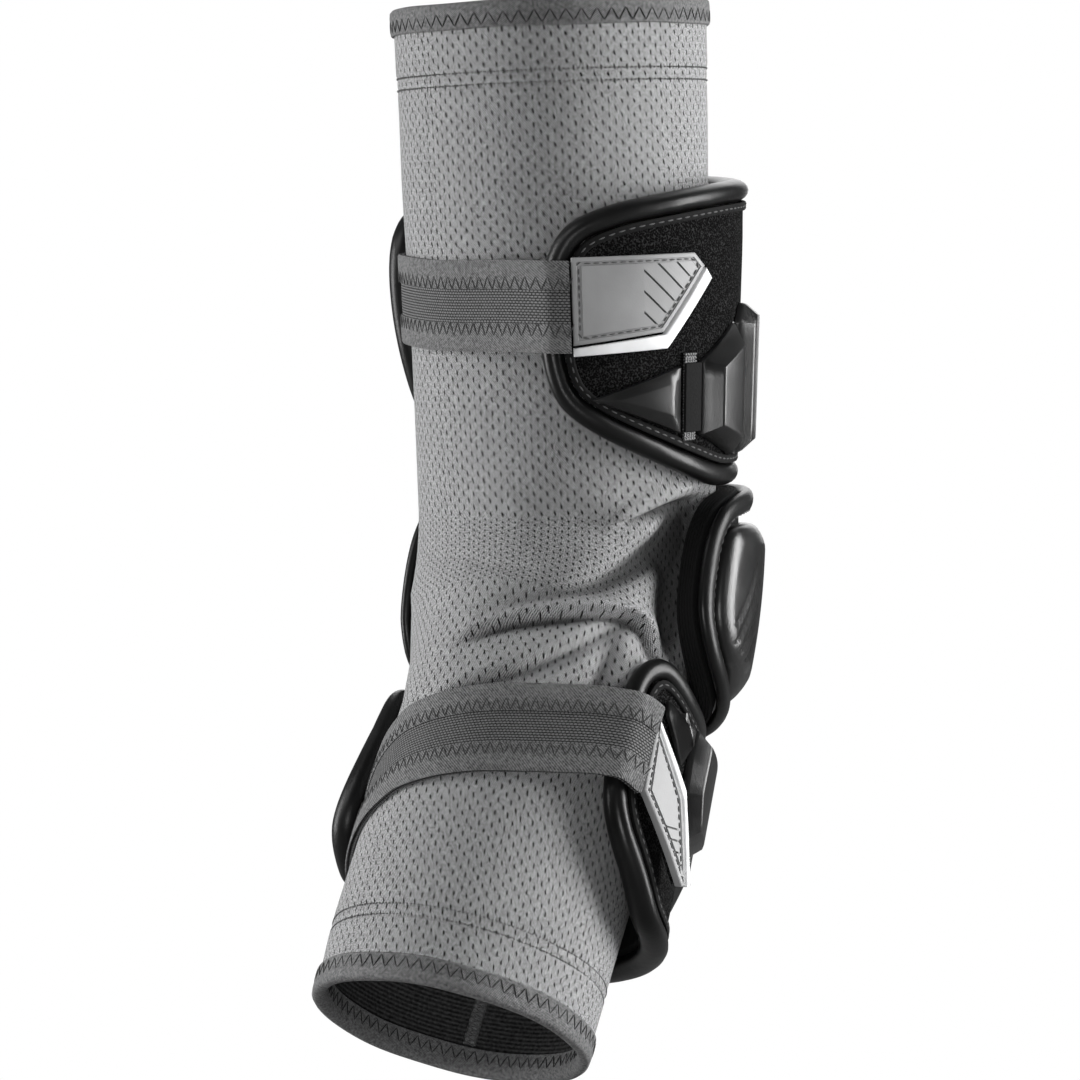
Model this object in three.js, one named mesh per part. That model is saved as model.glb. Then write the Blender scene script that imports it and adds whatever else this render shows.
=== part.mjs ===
// A padded lacrosse arm guard for a left arm, shown as worn with the elbow a little bent.
// Millimetres, +Z up the upper arm. The origin is where the axes of upper arm and forearm cross.
// The forearm bends towards -Y, so the elbow's point faces +Y.
//
// Every piece lies round the arm, so each is drawn in three arm coordinates:
//   along   distance up the arm's centreline from the middle of the elbow
//   around  degrees round the arm, 0 in the crook of the elbow, 90 towards +X, 180 at the elbow's point
//   out     height above the sleeve's outer face
import * as THREE from "three";

// Sleeve
const upperArmLength = 169;
const forearmLength = 143;
const elbowBend = 34;
const bendRadius = 75;
const topRadius = 46;
const elbowRadius = 44.5;
const wristRadius = 39.5;
const sleeveWall = 3;
const bindingWidth = 7;
const bindingThickness = 0.9;
const seamWidth = 4.5;
const seamHeight = 1.2;
const seamAround = 201;
const foldZone = 60;
const foldDepth = 3;
const foldWidth = 4;
const pinchDepth = 5.5;
const pinchStart = 14;
const pinchDeepest = 45;
const pinchEnd = 120;
const pinchAround = 299;
const pinchReach = 58;

// Clearances
const gap = 0.3;
const seatGap = 0.4;
const padSpacing = 2.5;

// Elbow pad
const elbowPadUp = 25;
const elbowPadDown = 33;
const elbowFoam = 6.2;
const elbowRollWidth = 6;
const elbowRollHeight = 4.3;
const capUp = 16.5;
const capDown = 21.5;
const capSide = 3.2;
const capBevel = 5;
const capRise = 3;
const capCrown = 2.8;

// Upper arm and forearm shields
const upperShieldLength = 92;
const forearmShieldLength = 73;
const foamNearElbow = 2;
const foamFarEnd = 4.4;
const rollWidth = 7.5;
const rollNearElbow = 6.2;
const rollFarEnd = 9;
const loopThickness = 3;
const upperFlare = 2.6;
const forearmFlare = 4.6;
const plateEdge = 1.4;
const plateRise = 5.2;
const plateBevel = 4.5;
const hingeThickness = 0.8;

// Straps and tabs
const strapWidth = 26;
const strapThickness = 1.3;
const tapeWidth = 8.2;
const tapeThickness = 0.7;
const tabLength = 42.5;
const tabWidth = 28;
const tabThickness = 2.2;
const hookThickness = 1;

// Mesh fineness
const wrapStep = 7.5;
const bendStep = 7.5;
const finestColumn = 3.4;
const outlinePoints = 40;
const rollSides = 6;

const turn = Math.PI / 180;
const bend = elbowBend * turn;
const bendHalf = (bendRadius * bend) / 2;
const bendReach = bendRadius * Math.tan(bend / 2);
const { lerp, smoothstep } = THREE.MathUtils;

// How far the pad is drawn in beside the crook, on the side away from the tabs.
function pinchAt(along, around) {
  const below = (-along - pinchStart) / (pinchDeepest - pinchStart);
  const above = (pinchEnd + along) / (pinchEnd - pinchDeepest);
  const deep = Math.max(Math.min(below, above, 1), 0);
  const away = Math.abs(THREE.MathUtils.euclideanModulo(around - pinchAround + 180, 360) - 180);
  return pinchDepth * deep * (1 - smoothstep(away, 0, pinchReach));
}

// Radius of the sleeve's outer face, straight tapers either side of the elbow.
function sleeveRadius(along, around) {
  let radius = elbowRadius;
  if (along > bendHalf) {
    radius = lerp(elbowRadius, topRadius, (along - bendHalf) / (upperArmLength - bendHalf));
  }
  if (along < -bendHalf) {
    radius = lerp(elbowRadius, wristRadius, (-along - bendHalf) / (forearmLength - bendHalf));
  }
  return radius - pinchAt(along, around);
}

// The point on or off the arm that the three arm coordinates name.
function onArm(along, around, out) {
  const angle = Math.min(Math.max(bendHalf - along, 0) / bendRadius, bend);
  const up = new THREE.Vector3(0, Math.sin(angle), Math.cos(angle));
  const front = new THREE.Vector3(0, -Math.cos(angle), Math.sin(angle));
  const centre = new THREE.Vector3(0, -bendRadius, bendReach).addScaledVector(front, -bendRadius);
  const straight = along > bendHalf ? along - bendHalf : Math.min(along + bendHalf, 0);
  const radius = sleeveRadius(along, around) + out;
  return centre
    .addScaledVector(up, straight)
    .addScaledVector(front, radius * Math.cos(around * turn))
    .add(new THREE.Vector3(radius * Math.sin(around * turn), 0, 0));
}

// Degrees for a distance round the arm at the mean height of the pads, and back again.
const wrapRadius = elbowRadius + elbowFoam;
const toDegrees = (distance) => distance / wrapRadius / turn;
const toDistance = (degrees) => degrees * turn * wrapRadius;

// The faces that close an end ring, rung by rung between its first half and its second.
function rungFaces(count) {
  return Array.from({ length: count / 2 - 1 }, (_, j) => [
    [j, j + 1, count - 2 - j],
    [j, count - 2 - j, count - 1 - j],
  ]).flat();
}

// A closed solid through rings of equally many points. An open one is closed by its end rings;
// a closed one joins its last ring to its first.
function loft(rings, closed) {
  const count = rings[0].length;
  const index = [];
  const strips = closed ? rings.length : rings.length - 1;
  for (let i = 0; i < strips; i++) {
    const here = i * count;
    const next = ((i + 1) % rings.length) * count;
    for (let j = 0; j < count; j++) {
      const k = (j + 1) % count;
      index.push(here + j, here + k, next + k, here + j, next + k, next + j);
    }
  }
  if (!closed) {
    const last = (rings.length - 1) * count;
    for (const [a, b, c] of rungFaces(count)) {
      index.push(a, c, b, last + a, last + b, last + c);
    }
  }
  const points = rings.flat();
  if (signedVolume(points, index) < 0) index.reverse();
  const geometry = new THREE.BufferGeometry().setFromPoints(points);
  geometry.setIndex(index);
  geometry.computeVertexNormals();
  return geometry;
}

function signedVolume(points, index) {
  let volume = 0;
  const normal = new THREE.Vector3();
  for (let i = 0; i < index.length; i += 3) {
    normal.crossVectors(points[index[i + 1]], points[index[i + 2]]);
    volume += points[index[i]].dot(normal);
  }
  return volume;
}

// A solid lofted round the arm through sections, each {around, loop of Vector2(along, out)}.
function loftAround(sections, closed = false) {
  const rings = sections.map(({ around, loop }) => loop.map((p) => onArm(p.x, around, p.y)));
  return loft(rings, closed);
}

// Outlines are flat: x is the distance round the arm, y the distance along it.
const flat = (around, along) => new THREE.Vector2(toDistance(around), along);

function smoothOutline(corners) {
  const points = corners.map((p) => new THREE.Vector3(p.x, p.y, 0));
  const curve = new THREE.CatmullRomCurve3(points, true, "centripetal");
  return curve
    .getSpacedPoints(outlinePoints)
    .slice(0, -1)
    .map((p) => new THREE.Vector2(p.x, p.y));
}

// The outline moved inwards by a distance, corner by corner.
function inset(outline, distance) {
  const side = Math.sign(THREE.ShapeUtils.area(outline));
  return outline.map((point, i) => {
    const before = outline.at(i - 1);
    const after = outline[(i + 1) % outline.length];
    const first = point.clone().sub(before).normalize();
    const second = after.clone().sub(point).normalize();
    const inward = new THREE.Vector2(-first.y - second.y, first.x + second.x).multiplyScalar(side);
    const reach = distance / Math.max(inward.length() / 2, 0.5);
    return point.clone().addScaledVector(inward.normalize(), reach);
  });
}

// Lowest and highest point of the outline at a distance round the arm.
function spanAt(outline, x) {
  const crossings = [];
  outline.forEach((a, i) => {
    const b = outline[(i + 1) % outline.length];
    if ((a.x <= x) !== (b.x <= x)) crossings.push(lerp(a.y, b.y, (x - a.x) / (b.x - a.x)));
  });
  return [Math.min(...crossings), Math.max(...crossings)];
}

function edgeDistance(outline, point) {
  const closest = new THREE.Vector3();
  const spot = new THREE.Vector3(point.x, point.y, 0);
  const line = new THREE.Line3();
  return Math.min(
    ...outline.map((a, i) => {
      const b = outline[(i + 1) % outline.length];
      line.start.set(a.x, a.y, 0);
      line.end.set(b.x, b.y, 0);
      return line.closestPointToPoint(spot, true, closest).distanceTo(spot);
    }),
  );
}

// Where the sections of a wrapped sheet go: at the outline's own points and at least every wrap step.
function columnsOf(outline, extra = []) {
  const xs = outline.map((p) => p.x);
  const first = Math.min(...xs) + gap;
  const last = Math.max(...xs) - gap;
  const step = toDistance(wrapStep);
  const wanted = [...xs, ...extra];
  for (let x = Math.ceil(first / step) * step; x < last; x += step) wanted.push(x);
  const kept = [first];
  for (const x of wanted.sort((a, b) => a - b)) {
    if (x - kept.at(-1) >= finestColumn && last - x >= finestColumn) kept.push(x);
  }
  return [...kept, last];
}

// A sheet that lies round the arm between two heights, each a function of around and along.
function wrapSheet(outline, lower, upper) {
  const lengths = outline.map((p) => p.y);
  const reach = Math.max(...lengths) - Math.min(...lengths);
  const crossesElbow = Math.min(...lengths) < bendHalf && Math.max(...lengths) > -bendHalf;
  const rows = crossesElbow ? Math.ceil(reach / bendStep) : 1;
  const sections = columnsOf(outline).map((x) => {
    const [low, high] = spanAt(outline, x);
    const around = toDegrees(x);
    const top = [];
    const bottom = [];
    for (let i = 0; i <= rows; i++) {
      const along = lerp(low, high, i / rows);
      top.push(new THREE.Vector2(along, upper(around, along)));
      bottom.unshift(new THREE.Vector2(along, lower(around, along)));
    }
    return { around, loop: [...top, ...bottom] };
  });
  return loftAround(sections);
}

// A hard plate with a bevelled rim and a raised flat, seated on a height function.
function wrapPlate(outline, seat, rise) {
  const crest = inset(outline, plateBevel);
  const crestXs = crest.map((p) => p.x);
  const sections = columnsOf(outline, crestXs).map((x) => {
    const [low, high] = spanAt(outline, x);
    const onCrest = x > Math.min(...crestXs) && x < Math.max(...crestXs);
    const ends = [lerp(low, high, 1 / 3), lerp(low, high, 2 / 3)];
    const [crestLow, crestHigh] = onCrest ? spanAt(crest, x) : ends;
    const around = toDegrees(x);
    const top = [low, crestLow, crestHigh, high].map((along) => {
      const share = Math.min(edgeDistance(outline, new THREE.Vector2(x, along)) / plateBevel, 1);
      return new THREE.Vector2(along, seat(around, along) + lerp(plateEdge, rise, share));
    });
    const bottom = [high, low].map((along) => new THREE.Vector2(along, seat(around, along)));
    return { around, loop: [...top, ...bottom] };
  });
  return loftAround(sections);
}

// A padded roll of oval section that runs round an outline's edge, between two heights.
function edgeRoll(outline, lower, upper, width) {
  const path = inset(outline, width / 2).map((p) => {
    const around = toDegrees(p.x);
    const base = lower(around, p.y);
    const height = upper(around, p.y) - base;
    const out = base + height / 2;
    return { centre: onArm(p.y, around, out), above: onArm(p.y, around, out + 1), height };
  });
  const rings = path.map(({ centre, above, height }, i) => {
    const after = path[(i + 1) % path.length].centre;
    const tangent = after.clone().sub(path.at(i - 1).centre).normalize();
    const normal = above.clone().sub(centre);
    const sideways = tangent.clone().cross(normal).normalize();
    return Array.from({ length: rollSides }, (_, j) => {
      const angle = (j / rollSides) * 2 * Math.PI;
      return centre
        .clone()
        .addScaledVector(sideways, (width / 2) * Math.sin(angle))
        .addScaledVector(normal, (height / 2) * Math.cos(angle));
    });
  });
  return loft(rings, true);
}

const group = new THREE.Group();
function add(name, geometry, material) {
  const mesh = new THREE.Mesh(geometry, material);
  mesh.name = name;
  group.add(mesh);
}
const finish = (color, roughness) => new THREE.MeshStandardMaterial({ color, roughness, metalness: 0 });
const knit = finish(0x9a9a9a, 0.9);
const binding = finish(0x4c4c4e, 0.9);
const rollFabric = finish(0x2e2e30, 0.5);
const foamFabric = finish(0x161617, 0.9);
const loopFabric = finish(0x0c0c0d, 1);
const plastic = finish(0x1d1e20, 0.35);
const elastic = finish(0x5a5a5c, 0.8);
const tape = finish(0x636365, 0.85);
const rubber = finish(0x6e6f70, 0.5);
const whiteRubber = finish(0xe8e8e6, 0.45);

// Creases of the sleeve where the elbow bends. bow lifts the middle of a crease up the arm.
// Lengths are shares: along and bow of the fold zone, width and depth of the fold's own sizes.
const folds = [
  { from: -3, to: 72, start: -0.69, end: -0.43, bow: 0.08, width: 0.9, depth: 1 },
  { from: -5, to: 58, start: -0.95, end: -0.4, bow: -0.09, width: 1, depth: 0.8 },
  { from: 52, to: 104, start: 0.32, end: 0.39, bow: 0.02, width: 0.8, depth: 0.6 },
  { from: 2, to: 84, start: -0.56, end: 0.27, bow: -0.09, width: 1.9, depth: 0.8 },
  { from: 12, to: 54, start: 0.47, end: 0.16, bow: 0, width: 2.2, depth: 0.4 },
];

// How far the creases sink the sleeve's face at a point.
function creaseAt(along, around) {
  let sink = 0;
  for (const fold of folds) {
    const share = (around - fold.from) / (fold.to - fold.from);
    const fade = smoothstep(share, -0.02, 0.18) * smoothstep(1 - share, -0.02, 0.12);
    const line = lerp(fold.start, fold.end, share) + fold.bow * 4 * share * (1 - share);
    const away = (along - line * foldZone) / (fold.width * foldWidth);
    sink += fold.depth * foldDepth * fade * Math.exp(-away * away);
  }
  return sink;
}

function steps(from, to, size) {
  const count = Math.ceil(Math.abs(to - from) / size);
  return Array.from({ length: count }, (_, i) => lerp(from, to, i / count));
}

// Rows are close in the fold zone, and columns on the side that creases.
const fineRow = 5;
const coarseRow = 35;
const creasedFrom = -20;
const creasedTo = 110;
const fineColumn = 6.5;
const coarseColumn = 12;

function sleeveGeometry() {
  const creasedEnd = foldZone / 2;
  const outerRows = [
    ...steps(-forearmLength, -pinchEnd, coarseRow),
    ...steps(-pinchEnd, -foldZone, coarseRow),
    ...steps(-foldZone, creasedEnd, fineRow),
    ...steps(creasedEnd, upperArmLength, coarseRow),
    upperArmLength,
  ];
  const innerRows = [
    ...steps(upperArmLength, bendHalf, coarseRow * 2),
    ...steps(bendHalf, -bendHalf, bendStep),
    ...steps(-bendHalf, -pinchDeepest, coarseRow * 2),
    ...steps(-pinchDeepest, -pinchEnd, coarseRow),
    ...steps(-pinchEnd, -forearmLength, coarseRow * 2),
    -forearmLength,
  ];
  const arounds = [
    ...steps(creasedFrom, creasedTo, fineColumn),
    ...steps(creasedTo, creasedFrom + 360, coarseColumn),
  ];
  const sections = arounds.map((around) => ({
    around,
    loop: [
      ...outerRows.map((along) => new THREE.Vector2(along, -creaseAt(along, around))),
      ...innerRows.map((along) => new THREE.Vector2(along, -sleeveWall - creaseAt(along, around))),
    ],
  }));
  return loftAround(sections, true);
}

// A tape folded over a rim of the sleeve: two legs and the turn between them.
function bindingGeometry(rim, side) {
  const leg = rim - side * bindingWidth;
  const inside = -sleeveWall - seatGap;
  const loop = [
    [leg, seatGap],
    [rim + side * seatGap, seatGap],
    [rim + side * seatGap, inside],
    [leg, inside],
    [leg, inside - bindingThickness],
    [rim + side * (seatGap + bindingThickness / 2), inside - bindingThickness],
    [rim + side * (seatGap + bindingThickness), inside / 2],
    [rim + side * (seatGap + bindingThickness / 2), seatGap + bindingThickness],
    [leg, seatGap + bindingThickness],
  ].map(([along, out]) => new THREE.Vector2(along, out));
  const sections = steps(0, 360, 10).map((around) => ({ around, loop }));
  return loftAround(sections, true);
}

// The raised seam that runs down the sleeve's inner wall, between the two bindings.
function seamGeometry() {
  const half = toDegrees(seamWidth / 2);
  const end = bindingWidth + seatGap;
  const loop = [
    [-half, 0],
    [-half / 2, -seamHeight],
    [half / 2, -seamHeight],
    [half, 0],
  ].map(([around, out]) => new THREE.Vector2(around, out));
  const alongs = [
    ...steps(-forearmLength + end, -bendHalf, coarseRow * 2),
    ...steps(-bendHalf, bendHalf, bendStep),
    ...steps(bendHalf, upperArmLength - end, coarseRow * 2),
    upperArmLength - end,
  ];
  const rings = alongs.map((along) =>
    loop.map((p) => onArm(along, seamAround + p.x, p.y - sleeveWall - seatGap)),
  );
  return loft(rings, false);
}

// The elbow pad's outline. along is a share of the pad's reach above or below the elbow's middle.
const elbowOutline = smoothOutline(
  [
    { around: 76, along: -0.2 },
    { around: 78, along: 0.5 },
    { around: 86, along: 0.88 },
    { around: 100, along: 1 },
    { around: 140, along: 1 },
    { around: 172, along: 1 },
    { around: 204, along: 1 },
    { around: 246, along: 1 },
    { around: 260, along: 0.86 },
    { around: 269.5, along: 0.45 },
    { around: 272.5, along: -0.12 },
    { around: 268.5, along: -0.55 },
    { around: 257, along: -0.84 },
    { around: 238, along: -0.93 },
    { around: 204, along: -0.93 },
    { around: 172, along: -0.93 },
    { around: 140, along: -0.93 },
    { around: 110, along: -0.92 },
    { around: 95, along: -0.84 },
    { around: 86, along: -0.72 },
    { around: 79, along: -0.5 },
  ].map(({ around, along }) => flat(around, along * (along > 0 ? elbowPadUp : elbowPadDown))),
);
const elbowTop = () => seatGap + elbowFoam + gap;
const elbowRollTop = () => elbowTop() + elbowRollHeight;
const capOutline = inset(elbowOutline, elbowRollWidth + gap).map(
  (p) => new THREE.Vector2(p.x, Math.min(Math.max(p.y, -capDown), capUp)),
);
const capMiddle = 172;
const capReach = 92;

// The cap's face: a steep side, a rounded bevel, and a crown that is highest over the elbow's point.
function capFace(around, along) {
  const point = flat(around, along);
  const edge = Math.min(edgeDistance(capOutline, point) / capBevel, 1);
  const round = Math.sqrt(1 - (1 - edge) ** 2);
  const crown = Math.cos(Math.min(Math.abs(around - capMiddle) / capReach, 1) * 90 * turn);
  return elbowTop() + capSide + capRise * round + capCrown * crown * edge;
}

// A shield: its outline table, its place along the arm and how far it stands off the sleeve.
// Each outline's along runs from 0 at the elbow end to 1 at the far end.
const upperShieldStart = elbowPadUp + padSpacing;
const upperAlong = (share) => upperShieldStart + share * upperShieldLength;
const upperOutline = smoothOutline(
  [
    { around: 22, along: 0.6 },
    { around: 22, along: 0.45 },
    { around: 26, along: 0.31 },
    { around: 35, along: 0.225 },
    { around: 56, along: 0.12 },
    { around: 76, along: 0.045 },
    { around: 92, along: 0.005 },
    { around: 120, along: 0 },
    { around: 150, along: 0 },
    { around: 180, along: 0 },
    { around: 210, along: 0 },
    { around: 238, along: 0.02 },
    { around: 259, along: 0.15 },
    { around: 271, along: 0.38 },
    { around: 275, along: 0.62 },
    { around: 271, along: 0.82 },
    { around: 258, along: 0.94 },
    { around: 236, along: 0.98 },
    { around: 208, along: 1 },
    { around: 180, along: 1 },
    { around: 150, along: 0.99 },
    { around: 120, along: 0.975 },
    { around: 90, along: 0.965 },
    { around: 60, along: 0.935 },
    { around: 42, along: 0.9 },
    { around: 30, along: 0.84 },
    { around: 24, along: 0.73 },
  ].map(({ around, along }) => flat(around, upperAlong(along))),
);

const forearmShieldStart = -elbowPadDown - padSpacing;
const forearmAlong = (share) => forearmShieldStart - share * forearmShieldLength;
const forearmOutline = smoothOutline(
  [
    { around: 59.5, along: 0.34 },
    { around: 60, along: 0.15 },
    { around: 64, along: 0.013 },
    { around: 72, along: -0.056 },
    { around: 82, along: -0.05 },
    { around: 94, along: -0.012 },
    { around: 112, along: 0 },
    { around: 150, along: 0 },
    { around: 180, along: 0 },
    { around: 210, along: 0 },
    { around: 238, along: 0 },
    { around: 256, along: 0 },
    { around: 265, along: 0.005 },
    { around: 272, along: 0.05 },
    { around: 277, along: 0.19 },
    { around: 281, along: 0.4 },
    { around: 282.5, along: 0.58 },
    { around: 280, along: 0.7 },
    { around: 272, along: 0.79 },
    { around: 262, along: 0.865 },
    { around: 250, along: 0.95 },
    { around: 236, along: 0.99 },
    { around: 210, along: 1 },
    { around: 180, along: 1 },
    { around: 150, along: 1 },
    { around: 120, along: 1 },
    { around: 104, along: 0.997 },
    { around: 93, along: 0.975 },
    { around: 85.5, along: 0.92 },
    { around: 79, along: 0.85 },
    { around: 72, along: 0.775 },
    { around: 66, along: 0.69 },
    { around: 62, along: 0.59 },
    { around: 60, along: 0.47 },
  ].map(({ around, along }) => flat(around, forearmAlong(along))),
);

// The strap's hidden end is tucked under the shield, which rises there to let it in.
const tuckFrom = 254;
const tuckTo = 262;
const tuckEnd = 266;
const tuckHeight = strapThickness + tapeThickness + gap * 2;

const tuck = (around) => tuckHeight * smoothstep(around, tuckFrom, tuckTo);
const upperShare = (along) => (along - upperShieldStart) / upperShieldLength;
const forearmShare = (along) => (forearmShieldStart - along) / forearmShieldLength;

const shields = [
  { name: "upper", outline: upperOutline, share: upperShare, along: upperAlong, flare: upperFlare },
  {
    name: "forearm",
    outline: forearmOutline,
    share: forearmShare,
    along: forearmAlong,
    flare: forearmFlare,
  },
];

// The layers of a shield as height functions, each on top of the one before.
for (const shield of shields) {
  const { share, flare } = shield;
  shield.seat = (around, along) => seatGap + flare * share(along) + tuck(around);
  shield.foamTop = (around, along) =>
    shield.seat(around, along) + lerp(foamNearElbow, foamFarEnd, share(along));
  shield.rollTop = (around, along) =>
    shield.seat(around, along) + lerp(rollNearElbow, rollFarEnd, share(along));
  shield.loopSeat = (around, along) => shield.foamTop(around, along) + gap;
  shield.loopTop = (around, along) => shield.loopSeat(around, along) + loopThickness;
  shield.plateSeat = (around, along) => shield.loopTop(around, along) + gap;
}

function addShield({ name, outline, seat, foamTop, rollTop, loopSeat, loopTop }) {
  const panel = inset(outline, rollWidth + gap);
  add(`${name}_foam`, wrapSheet(panel, seat, foamTop), foamFabric);
  add(`${name}_edge_roll`, edgeRoll(outline, seat, rollTop, rollWidth), rollFabric);
  add(`${name}_loop_panel`, wrapSheet(panel, loopSeat, loopTop), loopFabric);
}

// Hard plates, in order round the arm. Corners are [around, share of the shield's length].
// rise is a share of the plates' own rise.
const plates = {
  upper: [
    { rise: 0.6, corners: [[37, 0.31], [67.5, 0.4], [67.5, 0.19]] },
    { rise: 1.25, corners: [[77, 0.41], [96, 0.52], [96.5, 0.1], [77, 0.18]] },
    { rise: 1.05, corners: [[100, 0.1], [100, 0.52], [105, 0.58], [124, 0.57], [131, 0.47], [131, 0.1]] },
    { rise: 1.15, corners: [[135, 0.1], [135, 0.5], [143, 0.66], [158, 0.78], [158, 0.1]] },
    { rise: 1.3, corners: [[162, 0.1], [162, 0.8], [180, 0.87], [198, 0.8], [198, 0.1]] },
    { rise: 1.15, corners: [[202, 0.1], [202, 0.78], [217, 0.66], [225, 0.5], [225, 0.1]] },
    { rise: 1, corners: [[229, 0.12], [229, 0.47], [236, 0.57], [248, 0.56], [252, 0.45], [250, 0.2]] },
  ],
  forearm: [
    { rise: 0.9, corners: [[76, 0.113], [77, 0.164], [89, 0.315], [92, 0.252], [92, 0.126]] },
    { rise: 1.1, corners: [[96, 0.12], [95, 0.391], [102, 0.555], [127, 0.53], [127, 0.12]] },
    { rise: 1.15, corners: [[131, 0.126], [131, 0.55], [141, 0.71], [157, 0.82], [157, 0.126]] },
    { rise: 1.3, corners: [[161, 0.126], [161, 0.82], [180, 0.87], [199, 0.82], [199, 0.126]] },
    { rise: 1.15, corners: [[203, 0.126], [203, 0.82], [219, 0.71], [229, 0.55], [229, 0.126]] },
    { rise: 1, corners: [[233, 0.15], [233, 0.5], [243, 0.7], [252, 0.72], [252, 0.34], [247, 0.22]] },
  ],
};

function addPlates({ name, plateSeat, along }) {
  plates[name].forEach(({ rise, corners }, i) => {
    const outline = corners.map(([around, share]) => flat(around, along(share)));
    add(`${name}_plate_${i + 1}`, wrapPlate(outline, plateSeat, rise * plateRise), plastic);
  });
}

// The soft hinge between the first two upper plates: a pale mesh with a black web over it.
function addHinge() {
  const corners = (left, right, low, high) =>
    [[left, low], [left, high], [right, high], [right, low]].map(([a, s]) => flat(a, upperAlong(s)));
  const seat = shields[0].plateSeat;
  const mesh = (around, along) => seat(around, along) + hingeThickness;
  const web = (around, along) => mesh(around, along) + gap;
  const face = (around, along) => web(around, along) + hingeThickness;
  add("upper_hinge_mesh", wrapSheet(corners(68.6, 74.2, 0.165, 0.44), seat, mesh), elastic);
  add("upper_hinge_web", wrapSheet(corners(69.4, 75.8, 0.19, 0.41), web, face), rollFabric);
}

// A strap leaves the sleeve on a straight line that clears the shield's roll, and ends at its tab.
// route is the strap's middle line; its along is a share of the shield's length.
const straps = {
  upper: {
    end: 32,
    crest: 25,
    route: [
      { around: -94, along: 0.64 },
      { around: -48, along: 0.625 },
      { around: 32, along: 0.6 },
    ],
  },
  forearm: {
    end: 70.5,
    crest: 61,
    route: [
      { around: -94, along: 0.8 },
      { around: -75, along: 0.76 },
      { around: -55, along: 0.68 },
      { around: -40, along: 0.615 },
      { around: -21, along: 0.535 },
      { around: 0, along: 0.485 },
      { around: 24, along: 0.43 },
      { around: 52, along: 0.359 },
      { around: 63, along: 0.347 },
      { around: 70.5, along: 0.372 },
    ],
  },
};

function routeAt({ route }, around) {
  const next = Math.max(route.findIndex((p) => p.around >= around), 1);
  const [a, b] = [route[next - 1], route[next]];
  return lerp(a.along, b.along, (around - a.around) / (b.around - a.around));
}

const layerSeat = hookThickness + gap;

// Height of the strap's underside: on the sleeve, then straight up to the roll's crest, then level.
function strapHeight({ rollTop, plateSeat, along }, strap, around) {
  const middle = along(routeAt(strap, strap.crest));
  const edges = [middle - strapWidth / 2, middle + strapWidth / 2];
  const tops = edges.flatMap((edge) => [rollTop(strap.crest, edge), plateSeat(strap.crest, edge) + layerSeat]);
  const crest = Math.max(...tops) + gap;
  const radius = sleeveRadius(middle, strap.crest);
  const leaving = strap.crest - Math.acos((radius + seatGap) / (radius + crest)) / turn;
  if (around >= strap.crest) return crest;
  if (around <= leaving) return seatGap;
  return (radius + seatGap) / Math.cos((around - leaving) * turn) - radius;
}

function addStrap(shield) {
  const { name, along } = shield;
  const strap = straps[name];
  const start = tuckEnd - 360;
  const end = strap.end - toDegrees(gap * 2);
  const arounds = [...steps(start, end, wrapStep * 0.8), end];
  // The band keeps its own width square to its run, so a slanted part takes more of the arm.
  const widened = (around) => {
    const rise = along(routeAt(strap, around + wrapStep)) - along(routeAt(strap, around - wrapStep));
    return Math.hypot(rise / (2 * wrapStep * turn * elbowRadius), 1);
  };
  const band = (low, high, lift, thickness) => {
    const sections = arounds.map((around) => {
      const middle = along(routeAt(strap, around));
      const out = strapHeight(shield, strap, around) + lift;
      const [bottom, top] = [low, high].map((edge) => middle + edge * widened(around));
      const loop = [
        new THREE.Vector2(bottom, out),
        new THREE.Vector2(top, out),
        new THREE.Vector2(top, out + thickness),
        new THREE.Vector2(bottom, out + thickness),
      ];
      return { around, loop };
    });
    return loftAround(sections);
  };
  const half = strapWidth / 2;
  const tapeLift = strapThickness + gap;
  add(`${name}_strap`, band(-half, half, 0, strapThickness), elastic);
  add(`${name}_strap_high_tape`, band(half - tapeWidth, half, tapeLift, tapeThickness), tape);
  add(`${name}_strap_low_tape`, band(-half, tapeWidth - half, tapeLift, tapeThickness), tape);
}

// The tab's corners as shares of its length and width, from the strap's end. The trim is its white edge.
const tabCorners = [[0, 1], [0.84, 1], [0.93, 0.86], [0.6, 0.21], [0, 0.11]];
const trimCorners = [[0, 0], [0.63, 0.04], [1, 0.73], [0.945, 0.84], [0.615, 0.185], [0, 0.085]];
const hookCorners = [[0, 0.02], [0.62, 0.06], [0.97, 0.73], [0.84, 0.97], [0, 0.97]];
const tabs = {
  upper: { length: 1, width: 1, slope: 0, flip: 1, lift: 0 },
  forearm: { length: 0.78, width: 0.82, slope: -47, flip: -1, lift: 2.5 },
};

function addTab({ name, plateSeat, along }) {
  const strap = straps[name];
  const { length, width, slope, flip, lift } = tabs[name];
  const start = flat(strap.end, along(routeAt(strap, strap.end)));
  const place = (corners) =>
    corners.map(([forward, across]) => {
      const reach = forward * length * tabLength;
      return new THREE.Vector2(
        start.x + reach * Math.cos(slope * turn),
        start.y + reach * Math.sin(slope * turn) + flip * (across - 0.5) * width * tabWidth,
      );
    });
  const reachAt = (around) => (toDistance(around) - start.x) / (length * tabLength);
  const under = (around, s) => plateSeat(around, s) + gap + lift * Math.max(reachAt(around), 0);
  const hookTop = (around, s) => under(around, s) + hookThickness;
  const onTop = (around, s) => hookTop(around, s) + gap;
  const face = (around, s) => onTop(around, s) + tabThickness;
  add(`${name}_tab_hook`, wrapSheet(place(hookCorners), under, hookTop), loopFabric);
  add(`${name}_tab`, wrapSheet(place(tabCorners), onTop, face), rubber);
  add(`${name}_tab_trim`, wrapSheet(place(trimCorners), onTop, face), whiteRubber);
}

add("sleeve", sleeveGeometry(), knit);
add("top_binding", bindingGeometry(upperArmLength, 1), binding);
add("wrist_binding", bindingGeometry(-forearmLength, -1), binding);
add("inner_seam", seamGeometry(), binding);

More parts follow.
